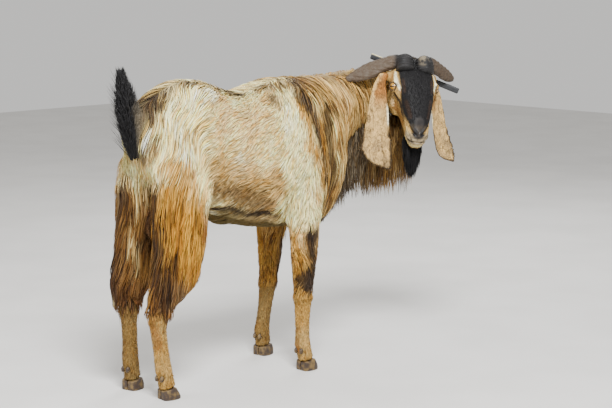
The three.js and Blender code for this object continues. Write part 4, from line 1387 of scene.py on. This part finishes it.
def make_bar():
    """The bar behind the horns, with rounded edges."""
    obj = refined("nape_bar", "nape_bar_worn", voxel=0.0018, rounds=3, grow=0.0004)
    points = mesh_points(obj.data)
    low = points[points[:, 0] < points[:, 0].min() + 0.010].mean(axis=0)
    high = points[points[:, 0] > points[:, 0].max() - 0.010].mean(axis=0)
    share = (points[:, 0] - low[0]) / (high[0] - low[0])
    middle = points[:, 2] - (low[2] + share * (high[2] - low[2]))
    top = (middle - middle.min()) / (middle.max() - middle.min())
    set_vectors(obj.data, "Along", np.stack([share, 0 * share, top], axis=1))
    obj.data.materials.append(bar_material)


# ------------------------------------------------------------------ making

coat_material = make_coat_material()
skin_material = make_skin_material()
horn_material = make_horn_material()
hoof_material = make_hoof_material()
bar_material = make_bar_material()
eye_material = make_eye_material()

skin, skin_regions = make_skin()
surface = Surface(skin, skin_regions)
ground = base_colours(surface.points, surface.zones)
ground = relax(ground, surface.edges, 0.5, 14)
skin_colours = markings(surface.points, skin_regions, ground)
# Painted shade: the skin under the coat is darkened by each zone's share, most where the coat is deepest.
painted_shade_under = relax(zone_values(surface.zones, "painted_shade_under"), surface.edges, 0.5, 10)
set_colours(skin.data, skin_colours * painted_shade_under[:, None])
set_vectors(skin.data, "Grain", grain_of(surface.points, skin_regions))
set_vectors(skin.data, "Kind", relax(kind_of(surface.points, skin_regions), surface.edges, 0.5, 3))
skin.data.materials.append(skin_material)
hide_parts(*FLESH)
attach(skin, "root")
print(f"skin: {len(surface.faces)} triangles")

for horn_side in ("right", "left"):
    make_horn(horn_side)
    make_eye(horn_side, 1 if horn_side == "left" else -1)
make_bar()
for claw in CLAWS:
    hoof = refined(claw, f"{claw}_horn", voxel=0.0014, rounds=2)
    hoof.data.materials.append(hoof_material)

unwrap = Unwrap(skin)
hard_tree, _ = tree_of(HARD)
vertex_coat = {
    key: relax(zone_values(surface.zones, key), surface.edges, 0.5, 25)
    for key in ("depth", "length", "width")
}


def in_part(part, places):
    """Which places are in a part of the body that is named as all, right, left_rear and so on."""
    x, y, _ = places.T
    tests = {"all": x == x, "right": y < SPINE_Y, "left": y >= SPINE_Y}
    tests |= {"rear": x < REAR_END, "front": x >= REAR_END}
    return np.all([tests[word] for word in part.split("_")], axis=0)


# The pieces of coat: each zone is one piece, or one for each of these parts of the body.
PIECES = [("barrel", part) for part in ("right_rear", "right_front", "left_rear", "left_front")]
for whole_side in ("drape", "shoulder", "mane", "neck", "thigh"):
    PIECES += [(whole_side, "right"), (whole_side, "left")]
PIECES += [(zone, "all") for zone in ("back", "forearm", "scrotum", "cannon", "head", "ear")]


# How near hair may grow to the hard parts, in metres, and to the bare nose, the mouth's line
# and the eyes' middles, in head units.
HARD_GAP = 0.0022
PAD_GAP = 17
MOUTH_GAP = 3
EYE_GAP = 18


def is_free(roots):
    """Which roots are clear of the horns, eyes, hooves, bar and the bare skin of the nose."""
    place = folded_face(roots)
    free = np.array([hard_tree.find_nearest(point)[3] > HARD_GAP for point in roots.tolist()])
    free &= distance_to_path(place, NOSE_PAD) > PAD_GAP
    free &= distance_to_path(place, MOUTH_LINE) > MOUTH_GAP
    return free & (np.linalg.norm(place - eye_centre(1), axis=1) > EYE_GAP)


def tuft_field(zone, part, seed):
    """The tufts that cover one zone of the skin, or a part of it."""
    settings = COAT[zone]
    faces = np.arange(len(surface.faces))
    chosen = (surface.face_zones == ZONES.index(zone)) & in_part(part, surface.centres)
    width = surface.value(vertex_coat["width"], faces)
    length = surface.value(vertex_coat["length"], faces)
    density = np.where(chosen, settings["cover"] / (0.6 * width * length), 0)
    roots, root_faces = scatter(density, seed)
    free = is_free(roots)
    roots, root_faces = roots[free], root_faces[free]
    random = np.random.default_rng(seed + 100)
    count = len(roots)
    reach = length[root_faces] * random.uniform(0.7, 1.25, count)
    if zone == "thigh":
        end = THIGH_HAIR_END + 0.020 * wobble(roots * [1, 1, 0.2], 0.018, 91)
        reach = np.minimum(reach, np.maximum(roots[:, 2] - end, 0.035) * random.uniform(0.70, 1.25, count))
    depth = surface.value(vertex_coat["depth"], root_faces) * random.uniform(0.45, 1.25, count)
    lines = grow_along(roots, root_faces, reach, depth, settings["rings"])
    lines, lock = drawn_together(lines, settings["lock"], settings["draw"], seed)
    outward = surface.outward(root_faces)
    colours = streaked(surface.value(skin_colours, root_faces), roots, COAT[zone], lock, seed + 200)
    widths = width[root_faces] * random.uniform(0.7, 1.3, count)
    build_coat(f"coat_{zone}_{part}", lines, widths, outward, colours, seed)


for number, (zone, part) in enumerate(PIECES):
    tuft_field(zone, part, 20 + number)


# ------------------------------------------------------------------ long hair


def hang(roots, down, out, rings, curl, seed):
    """Free locks: from each root, outwards a little and then down, with slow waves."""
    random = np.random.default_rng(seed)
    count = len(roots)
    share = np.linspace(0, 1, rings + 1)[None, :, None]
    lines = roots[:, None, :] + down[:, None, :] * share**1.15 + out[:, None, :] * (share * (1.6 - share))
    phase = random.uniform(0, 2 * math.pi, (count, 1, 2))
    waves = np.sin(share * random.uniform(3, 7, (count, 1, 1)) + phase) - np.sin(phase)
    lines[:, :, :2] += waves * curl * share
    return lines


def make_ruff():
    """Long hair below the neck, from the brisket to the throat, all through the ruff's solid."""
    tree, _ = tree_of(["ruff"])
    low, high = (np.array(corner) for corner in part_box("ruff"))
    random = np.random.default_rng(42)
    spots = low + random.random((RUFF_SPOTS, 3)) * (high - low)
    heights = []
    for x, y, _ in spots.tolist():
        top = tree.ray_cast((x, y, high[2] + 0.1), (0, 0, -1))[0]
        floor = tree.ray_cast((x, y, low[2] - 0.1), (0, 0, 1))[0]
        heights.append((floor[2], top[2]) if top and floor else (math.nan, math.nan))
    inside = ~np.isnan(heights).any(axis=1)
    bottom, top = np.array(heights)[inside].T
    roots = spots[inside]
    count = len(roots)
    roots[:, 2] = bottom + (top + 0.018 - bottom) * (1 - 0.75 * random.random(count) ** 1.5)
    lock_reach = 0.97 + 0.10 * wobble(roots * [1, 1, 0.2], 0.022, 45)
    length = (roots[:, 2] - bottom) * np.clip(lock_reach, 0.80, 1.10) * random.uniform(0.94, 1.16, count)
    length += 0.032 * smooth(0.34, 0.42, roots[:, 0]) * random.random(count)
    sway = [random.normal(0, 0.04, count) * length for _ in range(2)]
    down = np.stack([*sway, -length], axis=1)
    outward = unit((roots - (low + high) / 2) * [0.4, 1, 0] + 1e-6)
    lines = hang(roots, down, outward * 0.004, rings=6, curl=0.005, seed=43)
    lines, lock = drawn_together(lines, size=0.018, draw=0.40, seed=46)
    rear = linear("grey") * 0.50 + linear("brown") * 0.25
    front = linear("gold") * 0.35 + linear("grey") * 0.40 + linear("tan") * 0.15
    tone = blend(rear, front, smooth(0.34, 0.43, roots[:, 0]))
    tone = streaked(tone, roots, COAT["mane"], lock, 47)
    obj = build_coat("coat_ruff", lines, random.uniform(0.0028, 0.0050, count), outward, tone, 44)
    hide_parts("ruff")


def make_beard():
    """The beard, which hangs from the chin to a point."""
    low, high = (np.array(corner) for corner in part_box("beard"))
    place = nose_frame(surface.centres)
    chin = (is_of(surface.face_regions, "head")) & (place[:, 0] > 112) & (place[:, 2] < -40)
    chin &= (np.abs(place[:, 1]) < 24) & (surface.face_normals[:, 2] < -0.15)
    roots, root_faces = scatter(np.where(chin, BEARD_DENSITY, 0), 52)
    random = np.random.default_rng(51)
    count = len(roots)
    tip = np.array([(low[0] + high[0]) / 2 - 0.006, (low[1] + high[1]) / 2 + 0.010, low[2] - 0.002])
    reach = random.uniform(0.35, 1.0, count)
    spread = (roots - roots.mean(axis=0)) * [1.5, 1.5, 0]
    away = (1 - reach)[:, None] * 1.5 + 0.12
    down = (tip + spread * away - roots) * reach[:, None]
    normals = surface.outward(root_faces)
    lines = hang(roots - normals * 0.001, down, spread * 0.25, rings=6, curl=0.002, seed=53)
    tone = np.broadcast_to(linear("black"), (count, 3)) * random.uniform(0.6, 1.5, (count, 1))
    obj = build_coat("coat_beard", lines, random.uniform(0.0018, 0.0034, count), normals, tone, 54)
    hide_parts("beard")


# The line that the tail's hair rises from.
DOCK_LOW = np.array([-0.553, SPINE_Y, 0.650])
DOCK_HIGH = np.array([-0.593, SPINE_Y, 0.855])


def make_tail():
    """The brush of the tail: hair that rises from the dock and fans out behind it."""
    random = np.random.default_rng(61)
    count = TAIL_HAIRS
    share = random.uniform(0, 1, count)
    start = DOCK_LOW + share[:, None] * (DOCK_HIGH - DOCK_LOW)
    angle = random.uniform(0, 2 * math.pi, count)
    radial = np.stack([np.cos(angle), np.sin(angle), np.zeros(count)], axis=1)
    start += radial * (0.013 - 0.007 * share)[:, None]
    wisp = random.random(count) < 0.10
    fullness = np.clip(np.sin(np.clip(share * 0.98 + 0.12, 0, 1) * math.pi), 0.08, 1)
    length = 0.050 + 0.020 * random.random(count) + 0.022 * wisp
    lean = (0.34 + 0.16 * random.random(count)) * fullness
    behind = np.clip(-radial[:, 0], 0, 1)
    rise = unit(np.stack([-0.16 - 0.75 * wisp * behind, 0 * share, 1 + 0 * share], axis=1))
    aim = unit(rise + radial * (lean * (1 - 0.5 * wisp))[:, None])
    low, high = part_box("tail")
    room = (high[2] - start[:, 2]) * random.uniform(0.55, 1.05, count)
    length = np.minimum(length, room / aim[:, 2])
    end = start + aim * length[:, None]
    end[:, 0] = np.maximum(end[:, 0], low[0] - WISP_REACH * random.uniform(0.6, 1, count))
    lines = hang(start, end - start, radial * 0.003, rings=5, curl=0.002, seed=62)
    front = smooth(0.1, 0.7, radial[:, 0] - radial[:, 1] * 0.5) * smooth(0.62, 0.30, share)
    tone = blend(linear("black"), linear("grey"), 0.55 * front)
    widths = random.uniform(0.0020, 0.0036, count) * np.where(wisp, 0.55, 1)
    obj = build_coat("coat_tail", lines, widths, radial, tone, 63)
    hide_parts("tail")


make_ruff()
make_beard()
make_tail()

# ------------------------------------------------------------------ floor, light and camera

CAMERA_AT = (-3.5307, -3.5837, 1.2290)
CAMERA_AIM = (-0.034, -0.087, 0.490)
FOCAL_PIXELS = 1750  # the focal length in pixels of a picture 612 pixels wide
PICTURE_WIDTH = 612
SENSOR_WIDTH = 36  # millimetres
WORLD_COLOUR = (0.90, 0.89, 0.87, 1)
WORLD_STRENGTH = 0.80
LIGHTS = {  # where each one is, how wide, and its power in watts
    "key": ((-1.9, -2.4, 3.7), 1.5, 430),
    "fill": ((-3.6, 1.2, 1.9), 2.6, 55),
    "rim": ((2.4, 1.4, 2.8), 2.0, 80),
}


def make_floor():
    bpy.ops.mesh.primitive_plane_add(size=14, location=(0, 0, 0))
    floor = bpy.context.active_object
    floor.name = "floor"
    floor.data.materials.append(make_floor_material())


def aimed_object(name, data, at):
    """A lamp or camera that looks at the middle of the picture."""
    obj = new_object(name, data)
    obj.location = at
    obj.rotation_euler = (Vector(CAMERA_AIM) - Vector(at)).to_track_quat("-Z", "Y").to_euler()
    return obj


def make_light(name, at, size, power):
    lamp = bpy.data.lights.new(name, "AREA")
    lamp.shape = "DISK"
    lamp.size = size
    lamp.energy = power
    aimed_object(name, lamp, at)


def make_world():
    world = bpy.data.worlds.new("studio")
    world.use_nodes = True
    background = world.node_tree.nodes["Background"].inputs
    background["Color"].default_value = WORLD_COLOUR
    background["Strength"].default_value = WORLD_STRENGTH
    bpy.context.scene.world = world


def make_camera():
    data = bpy.data.cameras.new("camera")
    data.sensor_width = SENSOR_WIDTH
    data.lens = SENSOR_WIDTH * FOCAL_PIXELS / PICTURE_WIDTH
    bpy.context.scene.camera = aimed_object("camera", data, CAMERA_AT)


make_floor()
for light_name, light_settings in LIGHTS.items():
    make_light(light_name, *light_settings)
make_world()
make_camera()
